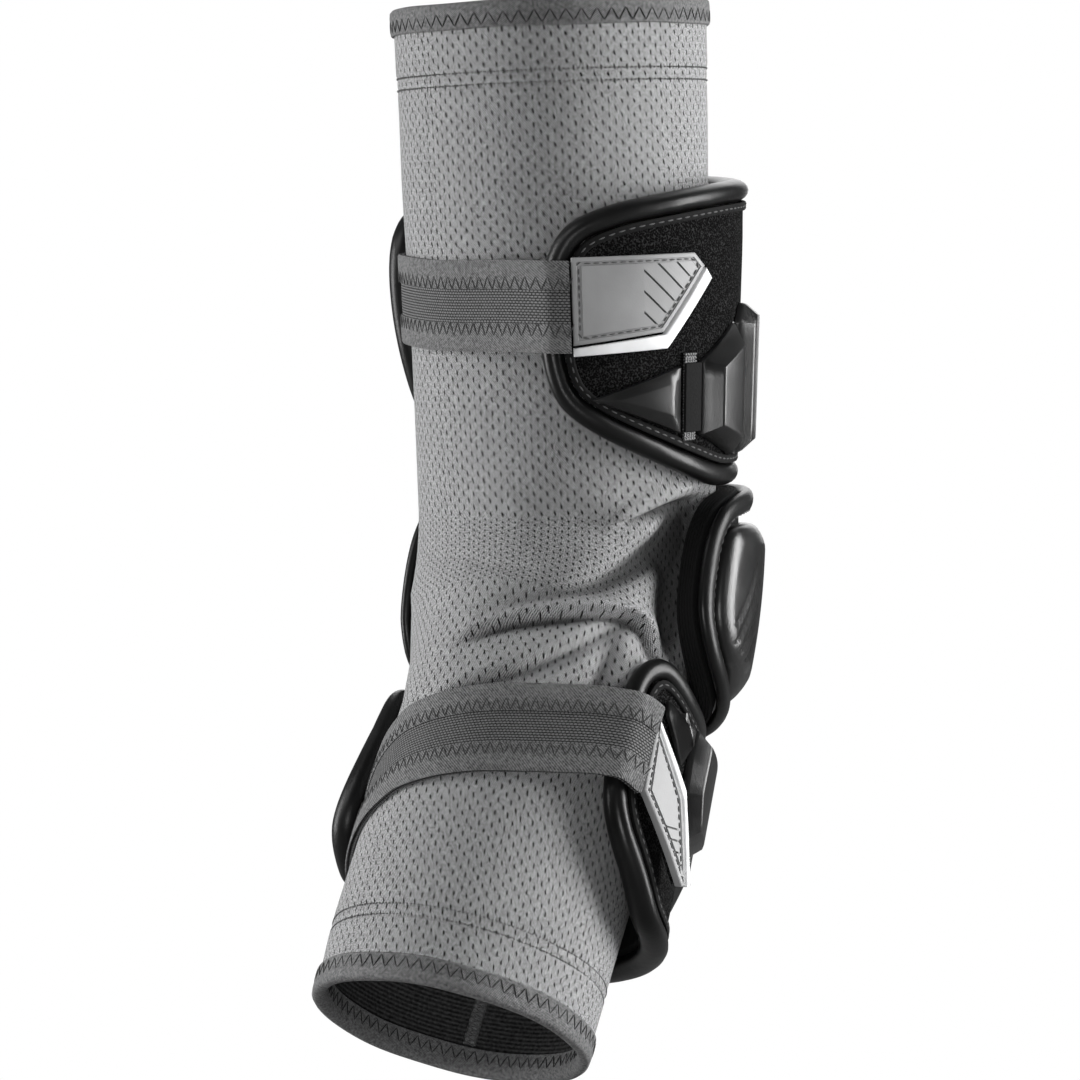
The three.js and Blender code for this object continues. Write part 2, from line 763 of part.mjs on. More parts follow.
add("elbow_pad", wrapSheet(elbowOutline, () => seatGap, () => seatGap + elbowFoam), foamFabric);
add("elbow_edge_roll", edgeRoll(elbowOutline, elbowTop, elbowRollTop, elbowRollWidth), rollFabric);
add("elbow_cap", wrapSheet(capOutline, elbowTop, capFace), plastic);

for (const shield of shields) {
  addShield(shield);
  addPlates(shield);
  addStrap(shield);
  addTab(shield);
}
addHinge();

export default group;
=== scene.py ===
# A worn lacrosse arm pad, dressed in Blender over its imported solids.
#
# Nearly every piece lies round the arm, so it is cut out flat, finished flat and then wrapped:
#   x  distance round the arm from the crook of the elbow, in millimetres
#   y  distance up the arm's middle line from the elbow
#   z  height above the sleeve's outer face
# on_arm() turns such a place into metres in the model's own frame.
import bpy
import bmesh
import math
import numpy as np
from mathutils import Matrix, Vector


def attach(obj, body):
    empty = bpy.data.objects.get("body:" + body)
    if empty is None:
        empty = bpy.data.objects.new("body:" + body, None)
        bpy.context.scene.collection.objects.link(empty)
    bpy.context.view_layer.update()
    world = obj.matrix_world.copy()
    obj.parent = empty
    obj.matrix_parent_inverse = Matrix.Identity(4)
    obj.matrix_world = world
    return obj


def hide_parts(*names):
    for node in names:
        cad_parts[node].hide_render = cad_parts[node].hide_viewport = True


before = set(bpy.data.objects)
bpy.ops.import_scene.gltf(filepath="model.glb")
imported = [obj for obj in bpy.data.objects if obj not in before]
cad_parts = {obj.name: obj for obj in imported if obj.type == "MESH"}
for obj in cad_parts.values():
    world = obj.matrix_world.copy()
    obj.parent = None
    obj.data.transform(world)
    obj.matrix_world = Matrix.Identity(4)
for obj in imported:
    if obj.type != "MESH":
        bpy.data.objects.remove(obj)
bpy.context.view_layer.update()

# The arm's sizes, as in the solids, in millimetres
UPPER_ARM = 169.0
FOREARM = 143.0
BEND = math.radians(34.0)
BEND_RADIUS = 75.0
TOP_RADIUS = 46.0
ELBOW_RADIUS = 44.5
WRIST_RADIUS = 39.5
GAP = 0.3
SEAT = 0.4
BEND_HALF = BEND_RADIUS * BEND / 2
BEND_REACH = BEND_RADIUS * math.tan(BEND / 2)
ELBOW_FOAM = 6.2
WRAP_RADIUS = ELBOW_RADIUS + ELBOW_FOAM
PINCH_DEPTH = 5.5
PINCH_START = 14.0
PINCH_DEEPEST = 45.0
PINCH_END = 120.0
PINCH_AROUND = 299.0
PINCH_REACH = 58.0
SLEEVE_WALL = 1.6
TOP_HEM_ROWS = (150.0, 146.5)
WRIST_HEM_ROWS = (-121.8, -125.0)
STRAP_HALF = 13.0
STRAP_THICKNESS = 1.3
TAPE_THICKNESS = 0.7
MM = 0.001


def lerp(a, b, t):
    return a + (b - a) * t


def ramp(value, low, high):
    """0 below low, 1 above high, smooth between."""
    t = np.clip((value - low) / (high - low), 0, 1)
    return t * t * (3 - 2 * t)


def to_degrees(x):
    return np.degrees(np.asarray(x, float) / WRAP_RADIUS)


def to_distance(degrees):
    return np.radians(degrees) * WRAP_RADIUS


def pinch(along, around):
    """How far the pad is drawn in beside the crook, on the side away from the tabs."""
    stops = [-PINCH_END, -PINCH_DEEPEST - 8, -PINCH_DEEPEST + 8, -PINCH_START]
    deep = np.interp(along, stops, [0, 0.93, 0.8, 0])
    away = np.abs((around - PINCH_AROUND + 180) % 360 - 180)
    return PINCH_DEPTH * deep * (1 - ramp(away, 0, PINCH_REACH))


def sleeve_radius(along, around=0.0):
    stops = [-FOREARM, -BEND_HALF, BEND_HALF, UPPER_ARM]
    plain = np.interp(along, stops, [WRIST_RADIUS, ELBOW_RADIUS, ELBOW_RADIUS, TOP_RADIUS])
    return plain - pinch(along, around)


def on_arm(along, around, out):
    """The place in metres of each (along, degrees around, height out)."""
    along, around, out = np.broadcast_arrays(along, around, out)
    angle = np.clip((BEND_HALF - along) / BEND_RADIUS, 0, BEND)
    up = np.stack([0 * angle, np.sin(angle), np.cos(angle)], -1)
    front = np.stack([0 * angle, -np.cos(angle), np.sin(angle)], -1)
    straight = np.where(along > BEND_HALF, along - BEND_HALF, np.minimum(along + BEND_HALF, 0))
    radius = sleeve_radius(along, around) + out
    turn = np.radians(around)
    place = np.array([0, -BEND_RADIUS, BEND_REACH]) - front * BEND_RADIUS
    place = place + up * straight[..., None] + front * (radius * np.cos(turn))[..., None]
    place[..., 0] += radius * np.sin(turn)
    return place * MM


def bearing(azimuth, elevation):
    """Unit step from the part towards an azimuth and elevation, both in radians."""
    level = math.cos(elevation)
    return Vector((math.sin(azimuth) * level, -math.cos(azimuth) * level, math.sin(elevation)))


def add_object(name, data):
    made = bpy.data.objects.new(name, data)
    bpy.context.scene.collection.objects.link(made)
    return made


# Camera
# The photograph looks at the crook of the elbow from a little to the +X side and a little above.
CAMERA_AZIMUTH = math.radians(29.0)
CAMERA_ELEVATION = math.radians(5.5)
CAMERA_ROLL = math.radians(-2.1)
CAMERA_DISTANCE = 1.085
CAMERA_LENS = 120.56
LOOK_RIGHT = 0.009
LOOK_UP = -0.012


def place_camera():
    back = bearing(CAMERA_AZIMUTH, CAMERA_ELEVATION)
    level = Vector((math.cos(CAMERA_AZIMUTH), math.sin(CAMERA_AZIMUTH), 0))
    upright = back.cross(level)
    right = level * math.cos(CAMERA_ROLL) + upright * math.sin(CAMERA_ROLL)
    up = upright * math.cos(CAMERA_ROLL) - level * math.sin(CAMERA_ROLL)
    turned = Matrix((right, up, back)).transposed().to_4x4()
    turned.translation = back * CAMERA_DISTANCE - right * LOOK_RIGHT - up * LOOK_UP
    data = bpy.data.cameras.new("camera")
    data.sensor_width = 36
    data.lens = CAMERA_LENS
    data.clip_start = 0.05
    data.clip_end = 100
    camera = add_object("camera", data)
    camera.matrix_world = turned
    bpy.context.scene.camera = camera


place_camera()


# Node trees and materials
class Nodes:
    """Short ways to add nodes to a tree."""

    def __init__(self, tree):
        self.tree = tree

    def node(self, kind, **inputs):
        """A new node whose named inputs are set or linked."""
        made = self.tree.nodes.new(kind)
        for key, value in inputs.items():
            self.feed(made.inputs[key.replace("_", " ").title()], value)
        return made

    def feed(self, socket, value):
        if isinstance(value, bpy.types.NodeSocket):
            self.tree.links.new(value, socket)
        else:
            socket.default_value = value

    def math(self, operation, a, b=0.0):
        made = self.node("ShaderNodeMath")
        made.operation = operation
        for socket, value in zip(made.inputs, (a, b)):
            self.feed(socket, value)
        return made.outputs[0]

    def seen_as(self, seen, otherwise):
        """The first shader where the camera looks, and the other for all the rest of the light."""
        path = self.node("ShaderNodeLightPath")
        mix = self.node("ShaderNodeMixShader")
        shaders = (otherwise.outputs[0], seen.outputs[0])
        for socket, value in zip(mix.inputs, (path.outputs["Is Camera Ray"], *shaders)):
            self.feed(socket, value)
        return mix.outputs[0]


class Shade(Nodes):
    """A Principled material, and the patterns that several of them share."""

    def __init__(self, name, color, roughness, specular=0.5):
        self.material = bpy.data.materials.new(name)
        self.material.use_nodes = True
        super().__init__(self.material.node_tree)
        self.shader = self.tree.nodes["Principled BSDF"]
        self.shader.inputs["Base Color"].default_value = (*color, 1)
        self.shader.inputs["Roughness"].default_value = roughness
        self.shader.inputs["Specular IOR Level"].default_value = specular

    def weighted(self, value, weight, other):
        """The value times its weight, added to the other."""
        return self.math("ADD", self.math("MULTIPLY", value, weight), other)

    def squares(self, a, b):
        return self.math("ADD", self.math("MULTIPLY", a, a), self.math("MULTIPLY", b, b))

    def wave(self, value, pitch):
        """A sine that repeats every pitch."""
        return self.math("SINE", self.math("MULTIPLY", value, 2 * math.pi / pitch))

    def from_middle(self, value):
        """-0.5 to 0.5 across each whole step."""
        return self.math("SUBTRACT", self.math("FRACT", value), 0.5)

    def every_other(self, value):
        """0 and 1 in turn at each whole step."""
        return self.math("ABSOLUTE", self.math("MODULO", self.math("FLOOR", value), 2.0))

    def place(self):
        """Object coordinates, which are metres on every piece."""
        return self.node("ShaderNodeTexCoord").outputs["Object"]

    def cloth_place(self):
        """(round, along) in millimetres on the cloth, from the piece's own UV map."""
        where = self.node("ShaderNodeUVMap")
        where.uv_map = "cloth"
        parts = self.node("ShaderNodeSeparateXYZ", vector=where.outputs[0])
        return [self.math("MULTIPLY", parts.outputs[i], 1000.0) for i in (0, 1)]

    def noise(self, scale, detail=3.0, roughness=0.55):
        at = self.place()
        made = self.node("ShaderNodeTexNoise", vector=at, scale=scale, detail=detail, roughness=roughness)
        return made.outputs["Fac"]

    def span(self, value, low, high, to_low=0.0, to_high=1.0, smooth=False):
        made = self.node("ShaderNodeMapRange")
        made.interpolation_type = "SMOOTHSTEP" if smooth else "LINEAR"
        for socket, entry in zip(made.inputs[:5], (value, low, high, to_low, to_high)):
            self.feed(socket, entry)
        return made.outputs[0]

    def mix(self, share, first, second):
        made = self.node("ShaderNodeMix")
        made.data_type = "RGBA"
        self.feed(made.inputs[0], share)
        for socket, value in zip(made.inputs[6:8], (first, second)):
            self.feed(socket, value if isinstance(value, bpy.types.NodeSocket) else (*value, 1))
        return made.outputs[2]

    def color(self, value):
        self.feed(self.shader.inputs["Base Color"], value)

    def rough(self, value):
        self.feed(self.shader.inputs["Roughness"], value)

    def bump(self, height, depth, strength=1.0):
        """height is 0 to 1 and depth its full height in metres. Bumps stack in the order given."""
        made = self.node("ShaderNodeBump", height=height, distance=depth, strength=strength)
        normal = self.shader.inputs["Normal"]
        if normal.is_linked:
            self.feed(made.inputs["Normal"], normal.links[0].from_socket)
        self.feed(normal, made.outputs[0])


def grey(value):
    return (value, value * 1.003, value * 1.01)


def mesh_knit():
    """Grey sports mesh with staggered upright slits between fine knitted courses."""
    column_pitch, row_pitch = 1.95, 3.9
    slit_half_width, slit_half_height = 0.25, 0.72
    course_pitch, wale_pitch = 0.78, 0.65
    shade = Shade("mesh_knit", grey(0.33), 0.85, specular=0.25)
    x, y = shade.cloth_place()
    # The knit's columns wander a little.
    x = shade.weighted(shade.math("SUBTRACT", shade.noise(420.0, 1.0), 0.5), 0.4, x)
    column = shade.math("DIVIDE", x, column_pitch)
    row = shade.weighted(shade.every_other(column), 0.5, shade.math("DIVIDE", y, row_pitch))
    near_x = shade.from_middle(column)
    near_y = shade.from_middle(row)
    slanted = shade.weighted(near_y, 0.35, near_x)
    wide = shade.math("MULTIPLY", slanted, column_pitch / slit_half_width)
    tall = shade.math("MULTIPLY", near_y, row_pitch / slit_half_height)
    slit = shade.span(shade.squares(wide, tall), 0.6, 1.7, 1.0, 0.0, smooth=True)
    loops = shade.math("MULTIPLY", shade.wave(y, course_pitch), shade.wave(x, wale_pitch))
    fuzz = shade.noise(2800.0, 2.0, 0.6)
    tone = shade.span(shade.weighted(loops, 0.24, fuzz), 0.36, 0.68)
    yarn = shade.mix(tone, grey(0.06), grey(0.58))
    # Painted shade: the floors of the creases are darker still, the deeper the darker.
    crease_shade = shade.node("ShaderNodeAttribute")
    crease_shade.attribute_name = "hollow"
    yarn = shade.mix(shade.span(crease_shade.outputs["Fac"], 0.15, 1.0, 0.0, 0.86, smooth=True), yarn, grey(0.03))
    shade.color(shade.mix(slit, yarn, grey(0.012)))
    shade.bump(fuzz, 0.0004, 0.6)
    shade.bump(loops, 0.00015, 0.5)
    shade.bump(shade.math("SUBTRACT", 1.0, slit), 0.0005, 0.8)
    return shade.material


def lining():
    """The dark inside of the knit, with fine courses round it."""
    shade = Shade("lining", grey(0.05), 0.9, specular=0.15)
    rib = shade.wave(shade.cloth_place()[1], 1.3)
    fuzz = shade.noise(1100.0, 3.0, 0.7)
    tone = shade.span(shade.weighted(rib, 0.13, fuzz), 0.3, 0.8)
    shade.color(shade.mix(tone, grey(0.008), grey(0.075)))
    shade.bump(rib, 0.0002, 0.5)
    shade.bump(fuzz, 0.0002, 0.5)
    return shade.material


def ribbed_binding():
    """Fine woven tape, paler where its ribs cross."""
    shade = Shade("ribbed_binding", grey(0.08), 0.85, specular=0.2)
    x, y = shade.cloth_place()
    weave = shade.math("MULTIPLY", shade.wave(x, 0.7), shade.wave(y, 0.55))
    fuzz = shade.noise(1300.0, 3.0, 0.65)
    tone = shade.span(shade.weighted(weave, 0.2, fuzz), 0.2, 0.9)
    shade.color(shade.mix(tone, grey(0.03), grey(0.32)))
    shade.bump(weave, 0.00018, 0.6)
    shade.bump(fuzz, 0.00012, 0.5)
    return shade.material


def ribbed_elastic():
    """Woven elastic: fine cords along the strap, each with a dotted pick."""
    cord_pitch, pick_pitch = 0.8, 1.05
    shade = Shade("ribbed_elastic", grey(0.1), 0.75, specular=0.25)
    x, y = shade.cloth_place()
    cord = shade.math("DIVIDE", y, cord_pitch)
    pick = shade.weighted(shade.every_other(cord), 0.5, shade.math("DIVIDE", x, pick_pitch))
    near_x = shade.math("MULTIPLY", shade.from_middle(pick), 1.7)
    near_y = shade.math("MULTIPLY", shade.from_middle(cord), 2.1)
    bead = shade.span(shade.squares(near_x, near_y), 0.15, 0.95, 1.0, 0.0, smooth=True)
    fuzz = shade.noise(1500.0, 2.0, 0.6)
    tone = shade.span(shade.weighted(fuzz, 0.6, bead), 0.2, 1.4)
    shade.color(shade.mix(tone, grey(0.006), grey(0.18)))
    shade.bump(bead, 0.00035, 0.7)
    return shade.material


def strap_tape():
    """Dark grey twill."""
    shade = Shade("strap_tape", grey(0.15), 0.82, specular=0.2)
    x, y = shade.cloth_place()
    twill = shade.wave(shade.math("ADD", x, y), 0.8)
    fuzz = shade.noise(1300.0, 3.0, 0.65)
    tone = shade.span(shade.weighted(twill, 0.14, fuzz), 0.28, 0.75)
    shade.color(shade.mix(tone, grey(0.045), grey(0.235)))
    shade.bump(twill, 0.0001, 0.5)
    shade.bump(fuzz, 0.00012, 0.5)
    return shade.material


def roll_cloth():
    """Smooth black stretch cloth over foam, with a soft shine."""
    shade = Shade("roll_cloth", grey(0.01), 0.45, specular=0.24)
    grain = shade.noise(1800.0, 2.0, 0.6)
    cloud = shade.noise(60.0, 2.0)
    shade.color(shade.mix(cloud, grey(0.003), grey(0.008)))
    shade.rough(shade.span(cloud, 0.3, 0.7, 0.29, 0.42))
    shade.bump(grain, 0.00008, 0.5)
    shade.bump(shade.noise(160.0, 2.0), 0.0003, 0.4)
    return shade.material


def brushed_loop():
    """Black brushed loop cloth that hooks grip, with sparse specks of painted glint."""
    shade = Shade("brushed_loop", grey(0.008), 0.95, specular=0.06)
    pile = shade.noise(1700.0, 4.0, 0.75)
    curl = shade.node("ShaderNodeTexVoronoi", vector=shade.place(), scale=1900.0)
    # Painted glints: sparse pale specks where the loops would catch the light.
    painted_glint = shade.span(shade.math("ADD", curl.outputs["Distance"], pile), 0.95, 1.4, 0.0, 1.0)
    shade.color(shade.mix(painted_glint, grey(0.001), grey(0.033)))
    shade.bump(pile, 0.0009, 0.8)
    shade.bump(curl.outputs["Distance"], 0.0006, 0.6)
    return shade.material


def foam_cloth():
    shade = Shade("foam_cloth", grey(0.014), 0.8, specular=0.12)
    weave = shade.noise(1400.0, 3.0, 0.7)
    shade.color(shade.mix(weave, grey(0.003), grey(0.013)))
    shade.bump(weave, 0.00025, 0.6)
    shade.bump(shade.noise(120.0, 2.0), 0.0005, 0.4)
    return shade.material


def moulded_plastic():
    """Satin black moulding with a fine spark texture and edges rubbed a little paler."""
    shade = Shade("moulded_plastic", grey(0.01), 0.34, specular=0.55)
    shape = shade.node("ShaderNodeNewGeometry")
    rubbed = shade.span(shape.outputs["Pointiness"], 0.52, 0.6)
    scuff = shade.noise(90.0, 4.0, 0.65)
    rubbed = shade.math("MULTIPLY", rubbed, shade.span(scuff, 0.35, 0.65))
    grain = shade.noise(2600.0, 2.0, 0.6)
    shade.color(shade.mix(rubbed, grey(0.006), grey(0.035)))
    shade.rough(shade.span(scuff, 0.3, 0.7, 0.28, 0.37))
    shade.bump(grain, 0.00008, 0.6)
    return shade.material


def matt_rubber(name, color, roughness):
    shade = Shade(name, grey(color), roughness)
    cloud = shade.noise(70.0, 3.0)
    grain = shade.noise(2200.0, 2.0)
    shade.color(shade.mix(shade.span(cloud, 0.3, 0.7), grey(color * 0.88), grey(color * 1.08)))
    shade.rough(shade.span(cloud, 0.3, 0.7, roughness - 0.05, roughness + 0.07))
    shade.bump(grain, 0.00006, 0.5)
    return shade.material


def thread(name, color):
    shade = Shade(name, grey(color), 0.7, specular=0.2)
    twist = shade.noise(3500.0, 2.0)
    shade.color(shade.mix(twist, grey(color * 0.6), grey(color * 1.4)))
    shade.bump(twist, 0.0001, 0.5)
    return shade.material


KNIT = mesh_knit()
LINING = lining()
BINDING = ribbed_binding()
ELASTIC = ribbed_elastic()
TAPE = strap_tape()
ROLL_CLOTH = roll_cloth()
LOOP_CLOTH = brushed_loop()
FOAM_CLOTH = foam_cloth()
PLASTIC = moulded_plastic()
RUBBER = matt_rubber("grey_rubber", 0.27, 0.5)
# Near-black rubber used only to paint shade into the tab's grooves.
GROOVE_SHADE = matt_rubber("groove_shade_rubber", 0.04, 0.6)
WHITE_RUBBER = matt_rubber("white_rubber", 0.82, 0.45)
BLACK_THREAD = thread("black_thread", 0.012)
DARK_THREAD = thread("dark_thread", 0.035)
GREY_THREAD = thread("grey_thread", 0.09)
HEM_THREAD = thread("hem_thread", 0.1)
PALE_THREAD = thread("pale_thread", 0.3)


# Outlines and cut pieces
# The order of corners that turns a face over and keeps its first one
TURNED = [0, 3, 2, 1]


def tube_faces(rows, columns):
    """Faces of a grid of vertices that closes on itself both ways."""
    index = np.arange(rows * columns).reshape(rows, columns)
    a, b = index, np.roll(index, -1, axis=1)
    c, d = np.roll(b, -1, axis=0), np.roll(a, -1, axis=0)
    return np.stack([a, b, c, d], -1).reshape(-1, 4)


def blurred(values, reach):
    """The values smoothed by a bell that reaches so many steps to each side."""
    bell = np.hanning(2 * reach + 1)
    return np.convolve(np.pad(values, reach, mode="edge"), bell / bell.sum(), "valid")


def swept(line, inwards, heights):
    """Places of a profile carried round an even closed line. Each is so far inwards from the line."""
    ahead = np.roll(line, -1, axis=0) - np.roll(line, 1, axis=0)
    ahead = ahead / np.linalg.norm(ahead, axis=1, keepdims=True)
    inward = np.stack([-ahead[:, 1], ahead[:, 0]], -1)
    flat = np.zeros((*inwards.shape, 3))
    flat[..., :2] = line[:, None, :] + inward[:, None, :] * inwards[..., None]
    flat[..., 2] = heights
    return flat.reshape(-1, 3)


def smooth_outline(corners, count=180):
    """An even closed curve through the corners (centripetal Catmull-Rom)."""
    points = np.array(corners, float)
    samples = []
    total = len(points)
    for i in range(total):
        p = [points[(i + k - 1) % total] for k in range(4)]
        knots = [0.0]
        for a, b in zip(p, p[1:]):
            knots.append(knots[-1] + math.sqrt(np.linalg.norm(b - a)))
        for t in np.linspace(knots[1], knots[2], 16, endpoint=False):
            level = p
            for depth in (1, 2, 3):
                level = [
                    ((knots[k + depth] - t) * level[k] + (t - knots[k]) * level[k + 1])
                    / (knots[k + depth] - knots[k])
                    for k in range(len(level) - 1)
                ]
            samples.append(level[0])
    return even(np.array(samples), count)


def even(points, count):
    """The closed line resampled at equal steps."""
    closed = np.vstack([points, points[:1]])
    run = np.r_[0, np.cumsum(np.linalg.norm(np.diff(closed, axis=0), axis=1))]
    at = np.linspace(0, run[-1], count, endpoint=False)
    return np.stack([np.interp(at, run, closed[:, k]) for k in range(2)], -1)


def soften(outline, passes):
    """Rounds the corners of an even outline a little."""
    for _ in range(passes):
        outline = (np.roll(outline, 1, axis=0) + 2 * outline + np.roll(outline, -1, axis=0)) / 4
    return outline


def area_of(outline):
    x, y = outline[:, 0], outline[:, 1]
    return 0.5 * np.sum(x * np.roll(y, -1) - np.roll(x, -1) * y)


def anticlockwise(line):
    return line[::-1] if area_of(line) < 0 else line


def inset(outline, distance):
    """The outline moved inwards, corner by corner."""
    before = outline - np.roll(outline, 1, axis=0)
    after = np.roll(outline, -1, axis=0) - outline
    before = before / np.linalg.norm(before, axis=1, keepdims=True)
    after = after / np.linalg.norm(after, axis=1, keepdims=True)
    inward = np.stack([-before[:, 1] - after[:, 1], before[:, 0] + after[:, 0]], -1)
    inward *= np.sign(area_of(outline))
    length = np.linalg.norm(inward, axis=1, keepdims=True)
    return outline + inward / length * distance / np.maximum(length / 2, 0.5)


def stretch_distance(points, a, b):
    """Distance from each point to the straight stretch from a to b."""
    way = b - a
    t = np.clip(((points - a) @ way) / (way @ way), 0, 1)
    return np.linalg.norm(points - a - t[:, None] * way, axis=1)


def edge_distance(outline, points):
    """Distance from each point to the closed line."""
    closest = np.full(len(points), 1e9)
    for a, b in zip(outline, np.roll(outline, -1, axis=0)):
        closest = np.minimum(closest, stretch_distance(points, a, b))
    return closest


def slice_flat(bm, axis, step):
    """Cuts the flat mesh into strips, so that it can bend."""
    values = [v.co[axis] for v in bm.verts]
    low, high = min(values), max(values)
    normal = Vector((0, 0, 0))
    normal[axis] = 1
    for k in range(math.ceil(low / step), math.floor(high / step) + 1):
        if low + 0.05 < k * step < high - 0.05:
            everything = bm.verts[:] + bm.edges[:] + bm.faces[:]
            place = normal * (k * step)
            bmesh.ops.bisect_plane(bm, geom=everything, dist=0.01, plane_co=place, plane_no=normal)


def slab(outline, rings, step=3.0, step_along=None):
    """Flat (places, faces) of a closed piece. rings are (inset, height), from the underside up."""
    outline = anticlockwise(outline)
    bm = bmesh.new()
    loops = []
    for distance, height in rings:
        line = inset(outline, distance) if distance else outline
        loops.append([bm.verts.new((x, y, height)) for x, y in line])
    count = len(outline)
    for low, high in zip(loops, loops[1:]):
        for i in range(count):
            k = (i + 1) % count
            bm.faces.new((low[i], low[k], high[k], high[i]))
    bm.faces.new(loops[-1])
    bm.faces.new(loops[0][::-1])
    slice_flat(bm, 0, step)
    slice_flat(bm, 1, step_along or step * 2)
    bm.verts.index_update()
    places = np.array([v.co for v in bm.verts])
    faces = [[v.index for v in f.verts] for f in bm.faces]
    bm.free()
    return places, faces


def finish_piece(name, places, faces, material, cloth, sharp=40):
    """A mesh object in metres that rides on the body. cloth is the (round, along) place of each vertex."""
    mesh = bpy.data.meshes.new(name)
    mesh.from_pydata(np.asarray(places).tolist(), [], faces)
    layer = mesh.uv_layers.new(name="cloth")
    corners = np.zeros(len(mesh.loops), np.int32)
    mesh.loops.foreach_get("vertex_index", corners)
    layer.data.foreach_set("uv", np.asarray(cloth)[corners].astype(np.float32).ravel())
    mesh.materials.append(material)
    mesh.shade_smooth()
    mesh.set_sharp_from_angle(angle=math.radians(sharp))
    mesh.update()
    piece = add_object(name, mesh)
    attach(piece, "root")
    return piece


def wrap(name, flat, material, base=0.0, sharp=40):
    """Wraps flat (places, faces) round the arm. base is a height, or a function of (degrees, along)."""
    places, faces = flat
    around = to_degrees(places[:, 0])
    along = places[:, 1]
    out = places[:, 2] + (base(around, along) if callable(base) else base)
    cloth = np.stack([np.radians(around) * (sleeve_radius(along) + out), along], -1) * MM
    return finish_piece(name, on_arm(along, around, out), faces, material, cloth, sharp)


# Geometry Nodes for sewing
def sewing_tree():
    """Stitches of one size along flat lines. Tilt leans every other stitch back, which makes a zigzag."""
    tree = bpy.data.node_groups.new("sewing", "GeometryNodeTree")
    kinds = {"Geometry": "Geometry", "Material": "Material"}
    for label in ("Geometry", "Pitch", "Stitch Length", "Thickness", "Flatness", "Tilt", "Material"):
        kind = "NodeSocket" + kinds.get(label, "Float")
        tree.interface.new_socket(label, in_out="INPUT", socket_type=kind)
    tree.interface.new_socket("Geometry", in_out="OUTPUT", socket_type="NodeSocketGeometry")
    add = Nodes(tree)
    given = add.node("NodeGroupInput").outputs
    # A point at each stitch along the line
    line = add.node("GeometryNodeResampleCurve")
    line.mode = "LENGTH"
    add.feed(line.inputs["Curve"], given["Geometry"])
    add.feed(line.inputs["Length"], given["Pitch"])
    # The line's heading there, and a lean that changes side from stitch to stitch
    tangent = add.node("GeometryNodeInputTangent")
    parts = add.node("ShaderNodeSeparateXYZ", vector=tangent.outputs[0])
    heading = add.math("ARCTAN2", parts.outputs[1], parts.outputs[0])
    number = add.node("GeometryNodeInputIndex").outputs[0]
    side = add.math("SUBTRACT", add.math("MULTIPLY", add.math("MODULO", number, 2.0), 2.0), 1.0)
    lean = add.math("MULTIPLY", side, given["Tilt"])
    turn = add.node("ShaderNodeCombineXYZ", z=add.math("ADD", heading, lean))
    # The stitch: a small ball drawn out along the line and pressed flat
    flat = add.math("MULTIPLY", given["Thickness"], given["Flatness"])
    size = add.node("ShaderNodeCombineXYZ", x=given["Stitch Length"], y=given["Thickness"], z=flat)
    ball = add.node("GeometryNodeMeshUVSphere", segments=6, rings=5, radius=0.5).outputs["Mesh"]
    laid = add.node("GeometryNodeTransform", geometry=ball, rotation=(0, math.pi / 2, 0))
    sewn = add.node(
        "GeometryNodeInstanceOnPoints", points=line.outputs["Curve"], instance=laid.outputs["Geometry"],
        rotation=turn.outputs[0], scale=size.outputs[0],
    )
    real = add.node("GeometryNodeRealizeInstances", geometry=sewn.outputs["Instances"]).outputs["Geometry"]
    coloured = add.node("GeometryNodeSetMaterial", geometry=real, material=given["Material"])
    add.node("NodeGroupOutput", geometry=coloured.outputs["Geometry"])
    return tree


SEWING = sewing_tree()


def sew(name, lines, material, pitch, length, thickness=0.5, flatness=0.8, tilt=0.0, base=0.0):
    """Sews each flat line. A line is (points, closed)."""
    curve = bpy.data.curves.new(name, "CURVE")
    curve.dimensions = "3D"
    for points, closed in lines:
        spline = curve.splines.new("POLY")
        spline.points.add(len(points) - 1)
        spline.use_cyclic_u = closed
        for point, place in zip(spline.points, points):
            point.co = (*place, 0, 1)
    line = add_object(name + "_line", curve)
    sewn = line.modifiers.new("sewing", "NODES")
    sewn.node_group = SEWING
    values = {
        "Pitch": pitch,
        "Stitch Length": length,
        "Thickness": thickness,
        "Flatness": flatness,
        "Tilt": math.radians(tilt),
        "Material": material,
    }
    for item in SEWING.interface.items_tree:
        if item.in_out == "INPUT" and item.name in values:
            sewn[item.identifier] = values[item.name]
    evaluated = line.evaluated_get(bpy.context.evaluated_depsgraph_get())
    mesh = bpy.data.meshes.new_from_object(evaluated)
    places = np.zeros(len(mesh.vertices) * 3)
    mesh.vertices.foreach_get("co", places)
    faces = [list(p.vertices) for p in mesh.polygons]
    bpy.data.objects.remove(line)
    wrap(name, (places.reshape(-1, 3), faces), material, base, sharp=180)


def ring_line(along):
    """A line right round the arm at one place along it, open where the flat cloth joins."""
    degrees = np.arange(150, 510.1, 3.0)
    return np.stack([to_distance(degrees), np.full(len(degrees), along)], -1), False


